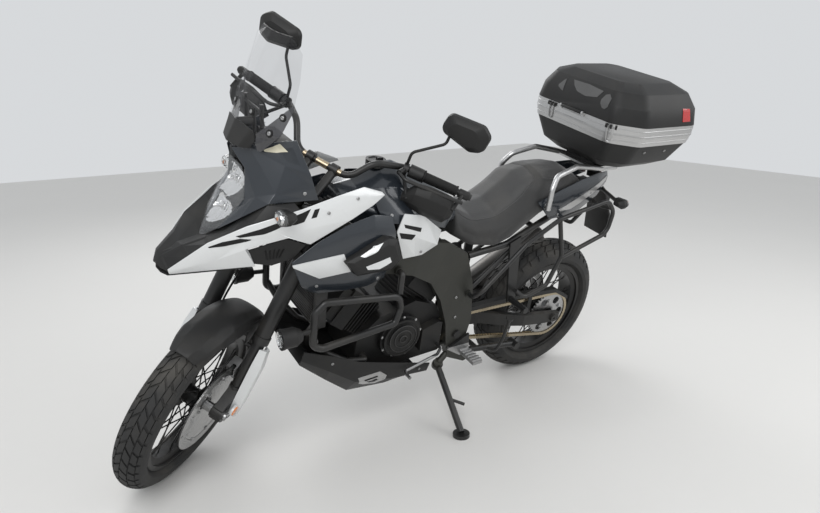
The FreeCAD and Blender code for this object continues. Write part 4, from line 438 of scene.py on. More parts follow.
def fabric_cover(name, low, high, scale, depth):
    """Seat cover: a coated cloth with a fine woven grain, its roughness changing in patches."""
    material, tree, sockets = surface(name, 0.62, Sheen_Weight=0.25, Sheen_Roughness=0.4)
    tone = painted(tree, sockets, low, high, 9.0, 0.1)[0]
    waves = []
    for way in (bike_forward, bike_left, bike_up):
        share = reach(tree, here(tree), way)
        waves.append(maths(tree, "SINE", times(tree, share, 2 * math.pi * scale)))
    weave = plus(tree, times(tree, waves[0], waves[1]), waves[2])
    grain = placed(tree, MOULDED_GRAIN, Scale=scale * 1.4, Depth=1.0)["Height"]
    height = plus(tree, times(tree, weave, 0.3), grain)
    worn(tree, sockets, tone, 0.2, 0.8, 0.52, 0.74)
    bumped(tree, sockets, height, depth)
    return material


def clear_part(name, tint, roughness):
    """Clear moulded plastic with a faint waviness and a little dust."""
    material, tree, sockets = surface(
        name, roughness, Transmission_Weight=0.94, IOR=1.45, Coat_Weight=0.3,
    )
    mask = placed(tree, ROAD_DUST, Amount=0.05)["Mask"]
    wire(tree, mixed(tree, mask, tint, DUST_COLOUR), sockets["Base Color"])
    worn(tree, sockets, noise(tree, 30.0, 3.0), 0.3, 0.7, roughness, roughness + 0.05)
    bumped(tree, sockets, noise(tree, 24.0, 2.0), 0.00004)
    return material


screen_fold = 0.102, 1.234      # metres: where the smoked part starts, to the side and up
screen_fold_slope = 1.22


def thin_clear(name, tint, clear_alpha, smoked_alpha):
    """The screen's thin sheet, seen through by its alpha; smoked low down at its sides."""
    material, tree, sockets = surface(name, 0.06, Coat_Weight=1.0, Coat_Roughness=0.03)
    place = vector_maths(tree, "SUBTRACT", here(tree), tuple(bike_origin))
    level = reach(tree, place, bike_up)
    left = maths(tree, "ABSOLUTE", reach(tree, place, bike_left))
    rise = times(tree, maths(tree, "SUBTRACT", left, screen_fold[0]), screen_fold_slope)
    below = maths(tree, "SUBTRACT", plus(tree, rise, screen_fold[1]), level)
    zone = times(tree, stretch(tree, below, -0.0006, 0.0006), stretch(tree, left, 0.097, 0.099))
    dust = placed(tree, ROAD_DUST, Amount=0.06, Scale=14.0)["Mask"]
    wire(tree, mixed(tree, dust, tint, DUST_COLOUR), sockets["Base Color"])
    smoked = stretch(tree, zone, 0.0, 1.0, clear_alpha, smoked_alpha)
    wire(tree, plus(tree, smoked, dust), sockets["Alpha"])
    worn(tree, sockets, noise(tree, 40.0, 3.0), 0.3, 0.7, 0.04, 0.12)
    return material


def moulded_clear(name, tint, alpha):
    """A thin clear lens, seen through by its alpha, with a glossy coat."""
    material, tree, sockets = surface(name, 0.05, Coat_Weight=1.0, Coat_Roughness=0.03)
    dust = placed(tree, ROAD_DUST, Amount=0.05, Scale=20.0)["Mask"]
    wire(tree, mixed(tree, dust, tint, DUST_COLOUR), sockets["Base Color"])
    wire(tree, plus(tree, dust, alpha), sockets["Alpha"])
    worn(tree, sockets, noise(tree, 30.0, 3.0), 0.3, 0.7, 0.03, 0.09)
    return material


def half_and_half(name, level, lower, upper):
    """Bare metal below a level, black paint above it."""
    material, tree, sockets = surface(name, 0.34)
    place = vector_maths(tree, "SUBTRACT", here(tree), tuple(bike_origin))
    height = reach(tree, place, bike_up)
    share = stretch(tree, height, level - 0.001, level + 0.001)
    tone = placed(tree, SURFACE_TONE, Scale=9.0, Spread=0.9)["Tone"]
    shade = stretch(tree, tone, 0.2, 0.8, 0.82, 1.1)
    colour = mixed(tree, share, lower, upper)
    scaled = node(tree, "ShaderNodeVectorMath", {0: colour}, operation="SCALE")
    wire(tree, shade, scaled.inputs["Scale"])
    wire(tree, scaled.outputs[0], sockets["Base Color"])
    wire(tree, stretch(tree, share, 0.0, 1.0, 1.0, 0.0), sockets["Metallic"])
    worn(tree, sockets, tone, 0.2, 0.8, 0.28, 0.44)
    bumped(tree, sockets, noise(tree, 500.0, 3.0), 0.00006)
    return material


def mirror_metal(name, colour=0.78):
    """Vacuum-plated reflector with a faint ripple."""
    material, tree, sockets = surface(name, 0.08, Metallic=1.0)
    painted(tree, sockets, grey(colour * 0.94), grey(colour), 30.0, 0.01, 0.4)
    worn(tree, sockets, noise(tree, 60.0, 3.0), 0.3, 0.7, 0.05, 0.14)
    bumped(tree, sockets, noise(tree, 60.0, 2.0), 0.00006)
    return material


def coloured_lens(name, colour):
    """Coloured lens plastic over a prismed back, with painted shade and glint in its prism cells.
    """
    material, tree, sockets = surface(name, 0.12, Coat_Weight=0.8, Coat_Roughness=0.04, IOR=1.5)
    cells = node(tree, "ShaderNodeTexVoronoi", {"Vector": here(tree), "Scale": 260.0})
    # Painted shade and glint: each prism cell darkest at its middle, its full colour at its rims.
    shade = stretch(tree, cells.outputs["Distance"], 0.1, 0.6)
    deep = (colour[0] * 0.45, colour[1] * 0.4, colour[2] * 0.4, 1)
    wire(tree, mixed(tree, shade, deep, (*colour, 1)), sockets["Base Color"])
    bumped(tree, sockets, cells.outputs["Distance"], 0.0004)
    return material


front_tyre_rubber = tyre_finish("front_tyre_rubber", front_centre, front_axle)
rear_tyre_rubber = tyre_finish("rear_tyre_rubber", rear_centre, bike_left)
disc_turned = turned_finish("front_disc_ground", front_centre, front_axle)
rear_disc_turned = turned_finish("rear_disc_ground", rear_centre, bike_left)
seat_side_cover = fabric_cover("seat_side_cover", grey(0.020), grey(0.034), 380.0, 0.0001)
seat_top_cover = fabric_cover("seat_top_cover", grey(0.034), grey(0.056), 300.0, 0.00018)
stitch_grey = matte_plastic("stitch_grey", 0.10, 500.0, 0.00006, 0.6, 0.02)
seam_thread = matte_plastic("seam_thread", 0.03, 500.0, 0.00012, 0.7, 0.02)
signal_clear = clear_part("signal_lens_clear", (0.95, 0.96, 0.96, 1), 0.05)
screen_clear = thin_clear("screen_clear_and_smoked", (0.035, 0.035, 0.04, 1), 0.07, 0.72)
lens_thin = moulded_clear("headlight_lens_thin", (0.7, 0.72, 0.74, 1), 0.07)
peg_metal = half_and_half("peg_steel_black_hanger", 0.335, grey(0.42), grey(0.012))
exhaust_steel = satin_paint("exhaust_dark_steel", (0.10, 0.095, 0.09, 1), (0.17, 0.165, 0.16, 1),
                            0.36, 1.0)
cream_plate = satin_paint("cream_plate", (0.60, 0.56, 0.42, 1), (0.68, 0.64, 0.50, 1), 0.4)
reflector = mirror_metal("reflector_plated")
mirror_glass = mirror_metal("mirror_glass", 0.82)
amber_lens = coloured_lens("amber_lens", (0.75, 0.20, 0.01))
red_lens = coloured_lens("red_lens", (0.50, 0.010, 0.008))
dash_glass = surface("dash_glass", 0.12, Coat_Weight=1.0, Coat_Roughness=0.03)[0]

for finish, labels in (
    (frame_grey, "main_frame"), (swingarm_black, "swingarm"), (exhaust_steel, "exhaust"),
    (black_metal, "subframe radiator crash_bars fuel_cap pannier_racks shock fork_yokes fork_tubes"
                  " fork_sliders handlebar side_stand centre_stand"),
    (engine_black, "cylinders crankcase"), (chain_steel, "drive_chain"), (peg_metal, "foot_pegs"),
    (black_plastic, "under_cowl aux_lamps scoop_pods beak instruments signal_lamps plate_holder"
                    " chain_guard front_fender hand_guards mirrors"),
    (body_dark, "fuel_tank tank_covers side_shrouds front_cowl tail_covers"),
    (body_white, "side_wings vent_panels fork_guards"), (case_black, "case_base case_lid"),
    (seat_side_cover, "seat"), (lens_thin, "headlight_lens"), (dark_inset_and_painted_shade, "headlight_housing"),
    (screen_clear, "windscreen"), (aluminium, "rear_carrier case_band"), (grip_rubber, "grips"),
    (aluminium_cast, "rear_caliper front_calipers"), (steel, "front_axle rear_sprocket"),
    (wheel_black, "front_spoked_wheel rear_spoked_wheel"), (disc_turned, "front_discs"),
    (rear_disc_turned, "rear_disc"), (front_tyre_rubber, "front_tyre"),
    (rear_tyre_rubber, "rear_tyre"),
):
    for label in labels.split():
        frame["nodes"][label].data.materials[0] = finish


# Shapes. Each maker adds to a bmesh, and a piece is made of what was added.
def piece(name, made, finish, body, sharp=35):
    """An object of what a bmesh holds, riding on a body."""
    bmesh.ops.recalc_face_normals(made, faces=made.faces)
    mesh = bpy.data.meshes.new(name)
    made.to_mesh(mesh)
    made.free()
    for polygon in mesh.polygons:
        polygon.use_smooth = True
    mesh.set_sharp_from_angle(angle=math.radians(sharp))
    mesh.materials.append(finish)
    thing = bpy.data.objects.new(name, mesh)
    bpy.context.scene.collection.objects.link(thing)
    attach(thing, body)
    return thing


def facing(direction):
    """The turn that carries up to a direction."""
    return Vector(direction).to_track_quat("Z", "Y").to_matrix()


def ring_grid(made, rings, closed_round=True, cap_start=False, cap_end=False):
    """Faces between rings of points, with flat ends where they are asked for."""
    rows = [[made.verts.new(point) for point in ring] for ring in rings]
    count = len(rows[0])
    for low, high in zip(rows, rows[1:]):
        for index in range(count if closed_round else count - 1):
            after = (index + 1) % count
            made.faces.new((low[index], low[after], high[after], high[index]))
    if cap_start:
        made.faces.new(list(reversed(rows[0])))
    if cap_end:
        made.faces.new(rows[-1])
    return rows


def turned(made, centre, direction, profile, sides=28, cap=True):
    """A round body: rows of a distance along its axis and a radius, in millimetres."""
    axes = facing(direction)
    rings = []
    for along, radius in profile:
        rings.append([
            centre + axes @ Vector((
                radius * math.cos(2 * math.pi * step / sides),
                radius * math.sin(2 * math.pi * step / sides), along,
            )) / 1000
            for step in range(sides)
        ])
    ring_grid(made, rings, True, cap, cap)


def flowing(points, steps=6):
    """A smooth path through points."""
    points = [Vector(point) for point in points]
    padded = [2 * points[0] - points[1]] + points + [2 * points[-1] - points[-2]]
    path = []
    for one, two, three, four in zip(padded, padded[1:], padded[2:], padded[3:]):
        for step in range(steps):
            t = step / steps
            path.append(0.5 * (
                2 * two + (three - one) * t + (2 * one - 5 * two + 4 * three - four) * t * t
                + (3 * two - one - 3 * three + four) * t * t * t
            ))
    path.append(points[-1])
    return path


def swept(made, points, radius, sides=10, steps=6):
    """A round bar or hose along a smooth path of places in the scene."""
    path = flowing(points, steps) if steps else [Vector(point) for point in points]
    side = None
    rings = []
    for index, place in enumerate(path):
        before, after = path[max(index - 1, 0)], path[min(index + 1, len(path) - 1)]
        way = (after - before).normalized()
        if side is None:
            side = way.orthogonal().normalized()
        side = (side - way * side.dot(way)).normalized()
        other = way.cross(side)
        rings.append([
            place + (side * math.cos(2 * math.pi * step / sides)
                     + other * math.sin(2 * math.pi * step / sides)) * radius / 1000
            for step in range(sides)
        ])
    ring_grid(made, rings, True, True, True)


def plate(made, outline, depth, edge):
    """A flat plate from its outline and the vector through it, with its rims rounded by edge."""
    middle = sum(outline, Vector()) / len(outline)
    lift = depth.normalized() * edge / 1000
    narrow = [point + (middle - point).normalized() * edge / 1000 for point in outline]
    ring_grid(made, [
        narrow, [point + lift for point in outline], [point + depth - lift for point in outline],
        [point + depth for point in narrow],
    ], True, True, True)


def rounded(corners, bend):
    """A ring of flat points with its corners bent round."""
    ring = []
    for index, corner in enumerate(corners):
        before, after = corners[index - 1], corners[(index + 1) % len(corners)]
        start = corner + (before - corner).normalized() * bend
        end = corner + (after - corner).normalized() * bend
        for share in (0, 0.25, 0.5, 0.75, 1):
            rest = 1 - share
            ring.append(start * rest ** 2 + corner * 2 * share * rest + end * share * share)
    return ring


def socket_bolt(made, place, direction, radius=5.0, tall=4.5):
    """A socket screw: a rounded head with a hexagon hole."""
    turned(made, place, direction, (
        (-0.5, radius), (tall * 0.75, radius), (tall, radius * 0.82),
        (tall, radius * 0.5), (tall * 0.4, radius * 0.46),
    ), 18)


def hex_bolt(made, place, direction, radius=6.0, tall=5.0):
    """A flanged hexagon screw."""
    turned(made, place, direction, ((-0.5, radius * 1.35), (1.2, radius * 1.3)), 20)
    turned(made, place, direction, ((0.5, radius), (tall * 0.8, radius), (tall, radius * 0.8)), 6)


surface_of = {}


def hit(node_name, start, way):
    """Where a line meets a CAD node first, and that face's normal."""
    if node_name not in surface_of:
        mesh = frame["nodes"][node_name].data
        surface_of[node_name] = BVHTree.FromPolygons(
            [vertex.co.copy() for vertex in mesh.vertices],
            [tuple(polygon.vertices) for polygon in mesh.polygons],
        )
    place, normal, _, _ = surface_of[node_name].ray_cast(start, Vector(way).normalized())
    return place, normal


def on_side(node_name, x, z, side):
    """The place on a node that is met from the left (side 1) or the right (side -1)."""
    way = bike_axes @ Vector((0, -side, 0))
    place, normal = hit(node_name, bike(x, side * 700, z), way)
    if place is not None and normal.dot(way) > 0:
        normal = -normal
    return place, normal


def between(rail, share):
    """The point at a share of the way along a rail of points."""
    place = share * (len(rail) - 1)
    index = min(int(place), len(rail) - 2)
    return tuple(a + (b - a) * (place - index) for a, b in zip(rail[index], rail[index + 1]))


def laid(made, view, upper, lower, lift, along, across):
    """A thin patch between two rails, given as a view's two numbers, on what the view meets."""
    rows = []
    for row in range(along + 1):
        high, low = between(upper, row / along), between(lower, row / along)
        points = []
        for column in range(across + 1):
            share = column / across
            place, normal = view(*(a + (b - a) * share for a, b in zip(high, low)))
            if place is None:
                return
            points.append((place, normal))
        rows.append(points)
    sunk = 0.0008       # metres that its rims reach into what carries it
    rims = []
    for points in rows:
        outer = [place + normal * lift / 1000 for place, normal in points]
        rims.append([points[0][0] - points[0][1] * sunk] + outer
                    + [points[-1][0] - points[-1][1] * sunk])
    for ends in (0, -1):
        flat = [place - normal * sunk for place, normal in rows[ends]]
        rims.insert(0 if ends == 0 else len(rims), [flat[0]] + flat + [flat[-1]])
    ring_grid(made, rims, False)


def from_side(node_name, side):
    """Rails of (x, z), met from the left (side 1) or from the right (side -1)."""
    return lambda x, z: on_side(node_name, x, z, side)


def from_end(node_name, end):
    """Rails of (y, z), met from ahead of the machine (end 1) or from behind it (end -1)."""
    def view(y, z):
        """The place and its normal, facing the one who looks."""
        place, normal = hit(node_name, bike(1500 * end, y, z), -bike_forward * end)
        if normal is not None and normal.dot(bike_forward) * end < 0:
            normal = -normal
        return place, normal
    return view


def on_both(node_name, lift, along, across, *rails):
    """The same patches on the left and on the right of a node."""
    return [(from_side(node_name, side), upper, lower, lift, along, across)
            for side in (1, -1) for upper, lower in rails]


def patches(name, finish, body, rows):
    """One piece of thin patches, each with its view, two rails, lift and fineness."""
    made = bmesh.new()
    for row in rows:
        laid(made, *row)
    piece(name, made, finish, body)


# Tyres: a carcass a little below the crown, and tread blocks that rise to it.
groove_depth = 5.0
tread_edge = 64     # degrees across the crown


def crown(radius, half, across, sunk=0.0):
    """Radius and offset of the crown at an angle across it, in millimetres."""
    hip = radius - half
    return hip + (half - sunk) * math.cos(across), (half - sunk) * math.sin(across)


def tyre(name, centre, axle, radius, half, bead_radius, bead_half, rows, pitches, finish, body):
    """A tyre with its blocks, in the rows of front_blocks or rear_blocks."""
    start = axle.orthogonal().normalized()
    side = axle.cross(start)

    def at(turn, out, left):
        """A place at an angle round the axle, by its radius and its offset."""
        around = start * math.cos(turn) + side * math.sin(turn)
        return centre + around * out / 1000 + axle * left / 1000

    made = bmesh.new()
    edge = math.radians(tread_edge)
    section = [(bead_radius, bead_half), (bead_radius + 15, bead_half),
               (bead_radius + 24, half * 0.93)]
    section += [crown(radius, half, angle) for angle in (math.radians(82), math.radians(70), edge)]
    section += [
        crown(radius, half, edge - edge * 2 * step / 14, groove_depth) for step in range(1, 14)
    ]
    section += [(out, -left) for out, left in reversed(section[:6])]
    turns = 120
    ring_grid(made, [
        [at(2 * math.pi * step / turns, out, left) for step in range(turns)]
        for out, left in section
    ])
    for pitch in range(pitches):
        base = 2 * math.pi * pitch / pitches
        step_round = 2 * math.pi / pitches
        for low, high, sweep, begin, long in rows:
            for hand in (1, -1):
                first = base + step_round * (begin + (0.5 if hand < 0 else 0))
                block = []
                for share in (0, 0.34, 0.67, 1):
                    across = math.radians(low + (high - low) * share) * hand
                    lean = step_round * sweep * share
                    ends = []
                    for turn in (first + lean, first + lean + step_round * long):
                        top = crown(radius, half, across, 0.2)
                        foot = crown(radius, half, across, groove_depth + 0.5)
                        ends.append((at(turn, *top), at(turn, *foot)))
                    block.append([ends[0][1], ends[0][0], ends[1][0], ends[1][1]])
                ring_grid(made, block, False, True, True)
    return piece(name, made, finish, body, 30)


front_blocks = (
    # across from and to in degrees, sweep, start and length in shares of a pitch
    (1.5, 24, 0.55, 0.0, 0.78),
    (28, 47, 0.40, 0.15, 0.76),
    (50, 63, 0.10, 0.45, 0.74),
)
rear_blocks = (
    (1.5, 20, 0.50, 0.0, 0.80),
    (23.5, 42, 0.42, 0.15, 0.78),
    (45, 63, 0.12, 0.45, 0.76),
)
front_tyre = tyre("front_tyre_treaded", front_centre, front_axle, 329, 55, 243.2, 32,
                  front_blocks, 44, front_tyre_rubber, "front_wheel")
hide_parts("front_tyre")
rear_tyre = tyre("rear_tyre_treaded", rear_centre, bike_left, 321, 75, 218.2, 51,
                 rear_blocks, 40, rear_tyre_rubber, "rear_wheel")
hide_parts("rear_tyre")

# Seat: foam under a stretched cover, swelled by a cloth pass, with its seams pressed in.
seam_runs = (
    # the rider's panel, round the step, and back; then the pillion's
    ((-172, 62), (-215, 88), (-290, 101), (-380, 104), (-470, 101), (-520, 84), (-531, 40),
     (-533, 0)),
    ((-560, 90), (-620, 90), (-700, 82), (-768, 64), (-782, 30), (-784, 0)),
)


def filled_cushion():
    """The seat's CAD solid as a stuffed cover."""
    source = frame["nodes"]["seat"]
    mesh = source.data.copy()
    mesh.name = "seat_cover"
    thing = bpy.data.objects.new("seat_cover", mesh)
    bpy.context.scene.collection.objects.link(thing)
    centre = sum((Vector(corner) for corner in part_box("seat")), Vector()) / 2
    for vertex in mesh.vertices:
        vertex.co = centre + (vertex.co - centre) * 0.992
    remesh = thing.modifiers.new("even", "REMESH")
    remesh.mode = "VOXEL"
    remesh.voxel_size = 0.007
    smooth = thing.modifiers.new("eased", "SMOOTH")
    smooth.factor = 0.5
    smooth.iterations = 4

    def settle():
        """Makes the mesh what its modifiers show, and takes them off."""
        graph = bpy.context.evaluated_depsgraph_get()
        thing.data = bpy.data.meshes.new_from_object(thing.evaluated_get(graph))
        thing.modifiers.clear()

    settle()
    before = [vertex.co.copy() for vertex in thing.data.vertices]
    underneath = thing.vertex_groups.new(name="base_pan")
    underneath.add([
        index for index, vertex in enumerate(thing.data.vertices)
        if vertex.normal.dot(bike_up) < -0.35
    ], 1.0, "REPLACE")
    cloth = thing.modifiers.new("filling", "CLOTH")
    settings = cloth.settings
    for label, value in (
        ("quality", 4), ("mass", 0.25), ("tension_stiffness", 12),
        ("compression_stiffness", 12), ("shear_stiffness", 5), ("bending_stiffness", 0.6),
        ("use_pressure", True), ("uniform_pressure_force", 4),
        ("vertex_group_mass", "base_pan"),
    ):
        setattr(settings, label, value)
    settings.effector_weights.gravity = 0
    for moment in range(1, 21):
        bpy.context.scene.frame_set(moment)
    settle()
    bpy.context.scene.frame_set(1)
    furthest = 0.006
    for vertex, start in zip(thing.data.vertices, before):
        moved = vertex.co - start
        if moved.length > furthest:
            vertex.co = start + moved * furthest / moved.length
    finer = thing.modifiers.new("finer", "SUBSURF")
    finer.levels = finer.render_levels = 1
    settle()
    return thing


def press_seams(thing, runs, depth, width):
    """Presses each seam into the cover and returns where it lies."""
    mesh = thing.data
    tree = BVHTree.FromPolygons(
        [vertex.co.copy() for vertex in mesh.vertices],
        [tuple(polygon.vertices) for polygon in mesh.polygons],
    )
    way = bike_axes @ Vector((0, 0, -1))
    lines = []
    for run in runs:
        for side in (1, -1):
            path = flowing([Vector((x, y * side, 0)) for x, y in run], 12)
            line = [tree.ray_cast(bike(point.x, point.y, 1400), way)[0] for point in path]
            lines.append([place for place in line if place is not None])
    places = [place for line in lines for place in line]
    known = KDTree(len(places))
    for index, place in enumerate(places):
        known.insert(place, index)
    known.balance()
    shifts = []
    for vertex in mesh.vertices:
        _, _, distance = known.find(vertex.co)
        if distance < width * 3:
            drop = depth * math.exp(-(distance / width) ** 2)
            shifts.append((vertex, vertex.normal.copy() * drop))
    for vertex, shift in shifts:
        vertex.co -= shift
    return [[place + way * depth * 0.6 for place in line] for line in lines]


seat_cover = filled_cushion()
seam_depth, seam_width = 0.0026, 0.0045
seam_lines = press_seams(seat_cover, seam_runs, seam_depth, seam_width)
seat_cover.data.materials.clear()
for finish in (seat_side_cover, seat_top_cover):
    seat_cover.data.materials.append(finish)
back_to_bike = bike_axes.inverted()


def on_seat_top(point):
    """True inside the two top panels, seen from above."""
    spot = back_to_bike @ (point - bike_origin) * 1000
    for run in seam_runs:
        xs = [x for x, _ in run]
        if min(xs) < spot.x < max(xs):
            for (x1, y1), (x2, y2) in zip(run, run[1:]):
                if min(x1, x2) <= spot.x <= max(x1, x2) and x1 != x2:
                    width = y1 + (y2 - y1) * (spot.x - x1) / (x2 - x1)
                    return abs(spot.y) < width
    return False


for polygon in seat_cover.data.polygons:
    polygon.use_smooth = True
    if polygon.normal.dot(bike_up) > 0.1 and on_seat_top(polygon.center):
        polygon.material_index = 1
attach(seat_cover, "chassis")
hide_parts("seat")

# The headlamp's plated reflector: two fluted bowls one above the other, with their bulbs.
headlamp_bowls = ((1070, 60, 52, 34), (988, 56, 44, 32))   # level, half width, half height, depth
lens_edge = ((912, 14), (930, 40), (975, 60), (1030, 68), (1085, 61), (1118, 44), (1134, 18))
lens_foot, lens_top = 914, 1130
behind_glass = 9


def half_lens(level):
    """Half the lens's width at a level, a little inside its edge."""
    for (low, narrow), (high, wide) in zip(lens_edge, lens_edge[1:]):
        if low <= level <= high:
            return narrow + (wide - narrow) * (level - low) / (high - low)
    return 0.0


made = bmesh.new()
around = bmesh.new()
levels, columns = 60, 36
places = {}
for step in range(levels + 1):
    level = lens_foot + (lens_top - lens_foot) * step / levels
    for column in range(columns + 1):
        left = half_lens(level) * (2 * column / columns - 1)
        start = bike(1200, left, level)
        glass = hit("headlight_lens", start, -bike_forward)[0]
        housing = hit("headlight_housing", start, -bike_forward)[0]
        sunk, inside = behind_glass, False
        for centre, wide, tall, depth in headlamp_bowls:
            off = (left / wide) ** 2 + ((level - centre) / tall) ** 2
            if off < 1:
                inside = True
                flute = 1.6 * math.cos(2 * math.pi * left / 15)
                sunk = max(sunk, behind_glass + depth * math.sqrt(1 - off) + flute)
        place = glass - bike_forward * sunk / 1000
        if housing is not None and (place - housing).dot(bike_forward) < 0.0012:
            place = housing + bike_forward * 0.0012
        places[step, column] = place, inside
known = {made: {}, around: {}}
for step in range(levels):
    for column in range(columns):
        corners = ((step, column), (step, column + 1), (step + 1, column + 1), (step + 1, column))
        target = made if sum(places[corner][1] for corner in corners) >= 2 else around
        ring = []
        for corner in corners:
            if corner not in known[target]:
                known[target][corner] = target.verts.new(places[corner][0])
            ring.append(known[target][corner])
        target.faces.new(ring)
piece("headlight_reflector", made, reflector, "chassis", 60)
piece("headlight_surround", around, dark_inset_and_painted_shade, "chassis", 40)
made = bmesh.new()
for centre, wide, tall, depth in headlamp_bowls:
    glass = hit("headlight_lens", bike(1200, 0, centre), -bike_forward)[0]
    turned(made, glass - bike_forward * (depth + behind_glass) / 1000, bike_forward,
           ((0, 11), (8, 10), (10, 7), (24, 6.6), (28, 4.4), (29, 1)), 20)
piece("headlight_bulbs", made, mirror_glass, "chassis")
made = bmesh.new()
shells = bmesh.new()
bulbs = bmesh.new()
signal_ring = ((-28, -16), (18, -20), (32, 0), (18, 20), (-28, 16))


def signal_outline(x, y, z, share, side):
    """A rounded ring round a turn signal, at a share of its outline."""
    corners = [Vector((left * share * side, up * share, 0)) for left, up in signal_ring]
    return [bike(x, y + point.x, z + point.y) for point in rounded(corners, 8 * share)]


for x, left, z, forward in ((548, 228, 1030, 1), (-915, 204, 886, -1)):
    for side in (1, -1):
        y = left * side
        for target, profile in (
            (made, ((8, 1.03), (16, 0.98), (24, 0.84), (29, 0.56), (31, 0.2))),
            (shells, ((9, 1.015), (12, 0.92), (23, 0.63), (23.6, 0.2))),
        ):
            ring_grid(target, [
                signal_outline(x + forward * step, y, z, share, side) for step, share in profile
            ], True, False, True)
        turned(bulbs, bike(x + forward * 23, y, z), bike_forward * forward,
               ((0, 5), (3, 4.6), (5, 2.4), (5.6, 0.6)), 16)
piece("signal_lenses", made, signal_clear, "chassis")
piece("signal_reflectors", shells, reflector, "chassis", 12)
piece("signal_bulbs", bulbs, amber_lens, "chassis")

made = bmesh.new()
tail_rings = []
for x, half_y, low, high in (
    (-970, 46.2, 911.5, 950.5), (-986, 43, 913, 948), (-993.4, 40, 916, 944), (-994, 30, 922, 938),
):
    tail_rings.append([
        bike(x, half_y, high), bike(x, -half_y, high), bike(x, -half_y * 0.9, low),
        bike(x, half_y * 0.9, low),
    ])
ring_grid(made, tail_rings, True, False, True)
piece("tail_lamp_lens", made, red_lens, "chassis", 20)
for label, x, profile, sides, closed, finish, slot, sharp in (
    ("aux_lamp_bowls", 558, ((-24, 8), (-20, 16), (-12, 24), (-8, 26.6)), 24, False,
     reflector, "chrome", 10),
    ("aux_lamp_glasses", 546, ((-3, 26.8), (0, 26), (3, 20), (4.6, 8), (4.8, 1)), 32, True,
     signal_clear, "clear_lens", 35),
):
    made = bmesh.new()
    for side in (1, -1):
        turned(made, bike(x, 214 * side, 610), bike_forward, profile, sides, closed)
    piece(label, made, finish, "chassis", sharp)


# Panels and shells with their edges eased, so that each crease takes the light.
def eased(name, node_name, width, crease, sharp=50, levels=0):
    """A copy of a rigid node that stands for it, with creases rounded over or, where levels
    are given, with its whole form smoothed."""
    source = frame["nodes"][node_name]
    made = bmesh.new()
    made.from_mesh(source.data)
    bmesh.ops.remove_doubles(made, verts=made.verts, dist=0.00002)
    bmesh.ops.dissolve_limit(
        made, angle_limit=math.radians(0.6), verts=made.verts, edges=made.edges,
    )
    if levels:
        bmesh.ops.triangulate(made, faces=[face for face in made.faces if len(face.verts) > 4])
        bmesh.ops.join_triangles(
            made, faces=made.faces, angle_face_threshold=math.radians(40),
            angle_shape_threshold=math.radians(40),
        )
    body = [label for label, members in frame["record"]["behaviour"]["bodies"].items()
            if node_name in members][0]
    thing = piece(name, made, source.data.materials[0], body, sharp)
    if levels:
        smooth = thing.modifiers.new("rounded", "SUBSURF")
        smooth.levels = smooth.render_levels = levels
    else:
        bevel = thing.modifiers.new("eased", "BEVEL")
        bevel.width = width / 1000
        bevel.segments = 2
        bevel.limit_method = "ANGLE"
        bevel.angle_limit = math.radians(crease)
    graph = bpy.context.evaluated_depsgraph_get()
    mesh = bpy.data.meshes.new_from_object(thing.evaluated_get(graph))
    thing.modifiers.clear()
    thing.data = mesh
    for polygon in mesh.polygons:
        polygon.use_smooth = True
    mesh.set_sharp_from_angle(angle=math.radians(sharp))
    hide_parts(node_name)


for node_name, slot, width, crease in (
    # width in millimetres, and the least crease in degrees
    ("beak", "black_plastic", 1.6, 6), ("front_cowl", "body_dark", 1.8, 6),
    ("side_wings", "body_white", 1.8, 6), ("side_shrouds", "body_dark", 1.8, 6),
    ("vent_panels", "body_white", 1.5, 6), ("scoop_pods", "black_plastic", 2.5, 12),
    ("tank_covers", "body_dark", 1.8, 6), ("under_cowl", "black_plastic", 1.8, 6),
    ("fork_guards", "body_white", 1.5, 14), ("hand_guards", "black_plastic", 1.5, 10),
    ("tail_covers", "body_dark", 1.5, 6), ("case_lid", "case_black", 1.5, 24),
    ("case_base", "case_black", 1.5, 24), ("plate_holder", "black_plastic", 1.2, 14),
    ("mirrors", "black_plastic", 1.6, 20), ("fuel_tank", "body_dark", 2.5, 14),
    ("instruments", "black_plastic", 1.0, 24), ("signal_lamps", "black_plastic", 0.8, 24),
):
    eased(node_name + "_eased", node_name, width, crease)
eased("front_fender_rounded", "front_fender", 0, 0, 40, 2)

# Slots, inlays and louvres of the body panels, on both sides.
wing_slots = (
    # rails of (x, z) on the wing: the signal's recess, the slit ahead of it, the vent behind
    (((664, 953), (598, 979), (552, 998), (503, 1015), (458, 1030)),
     ((653, 949), (592, 962), (547, 984), (503, 986), (478, 993))),
    (((733, 915), (698, 933), (653, 946), (624, 944.5)),
     ((730, 912), (693, 919), (653, 932), (627, 941))),
    (((446, 1026), (430, 1028)), ((456, 1000), (439, 1002))),
)
louvres = (
    (((112, 922), (34, 895)), ((107, 909), (38, 881))),
    (((131, 897), (60, 876)), ((119, 873), (74, 860))),
)
pod_inlays = (
    (((299, 864.5), (252, 891), (223, 903)), ((288, 863), (252, 876), (239, 887))),
    (((280, 829), (199, 852)), ((272, 817), (232, 815), (191, 834))),
)
# Painted shade: near-black patches stand for the shadowed slots, recess and louvres.
patches("panel_slots_painted_shade", dark_inset_and_painted_shade, "chassis",
        on_both("side_wings", 0.7, 30, 8, *wing_slots)
        + on_both("vent_panels", 0.7, 16, 4, *louvres))
patches("pod_inlays", body_white, "chassis",
        on_both("scoop_pods", 1.0, 16, 5, *pod_inlays))
patches("skid_plates", aluminium, "chassis", on_both("under_cowl", 1.4, 20, 8, (
    ((222, 325), (131, 328), (97, 298)), ((203, 278), (178, 258), (116, 234)))))
patches("skid_plate_ribs", dark_inset_and_painted_shade, "chassis", on_both(
    "under_cowl", 2.6, 8, 2,
    *[(((194 - drop, 306 - drop), (140, 310 - drop)), ((190 - drop, 300 - drop), (136, 304 - drop)))
      for drop in (0, 15, 30)],
))
patches("tail_blades", aluminium, "chassis", on_both("tail_covers", 1.6, 36, 6, (
    ((-638, 863), (-734, 889), (-898, 937), (-960, 951)),
    ((-650, 856), (-715, 853), (-841, 890), (-955, 932)))))

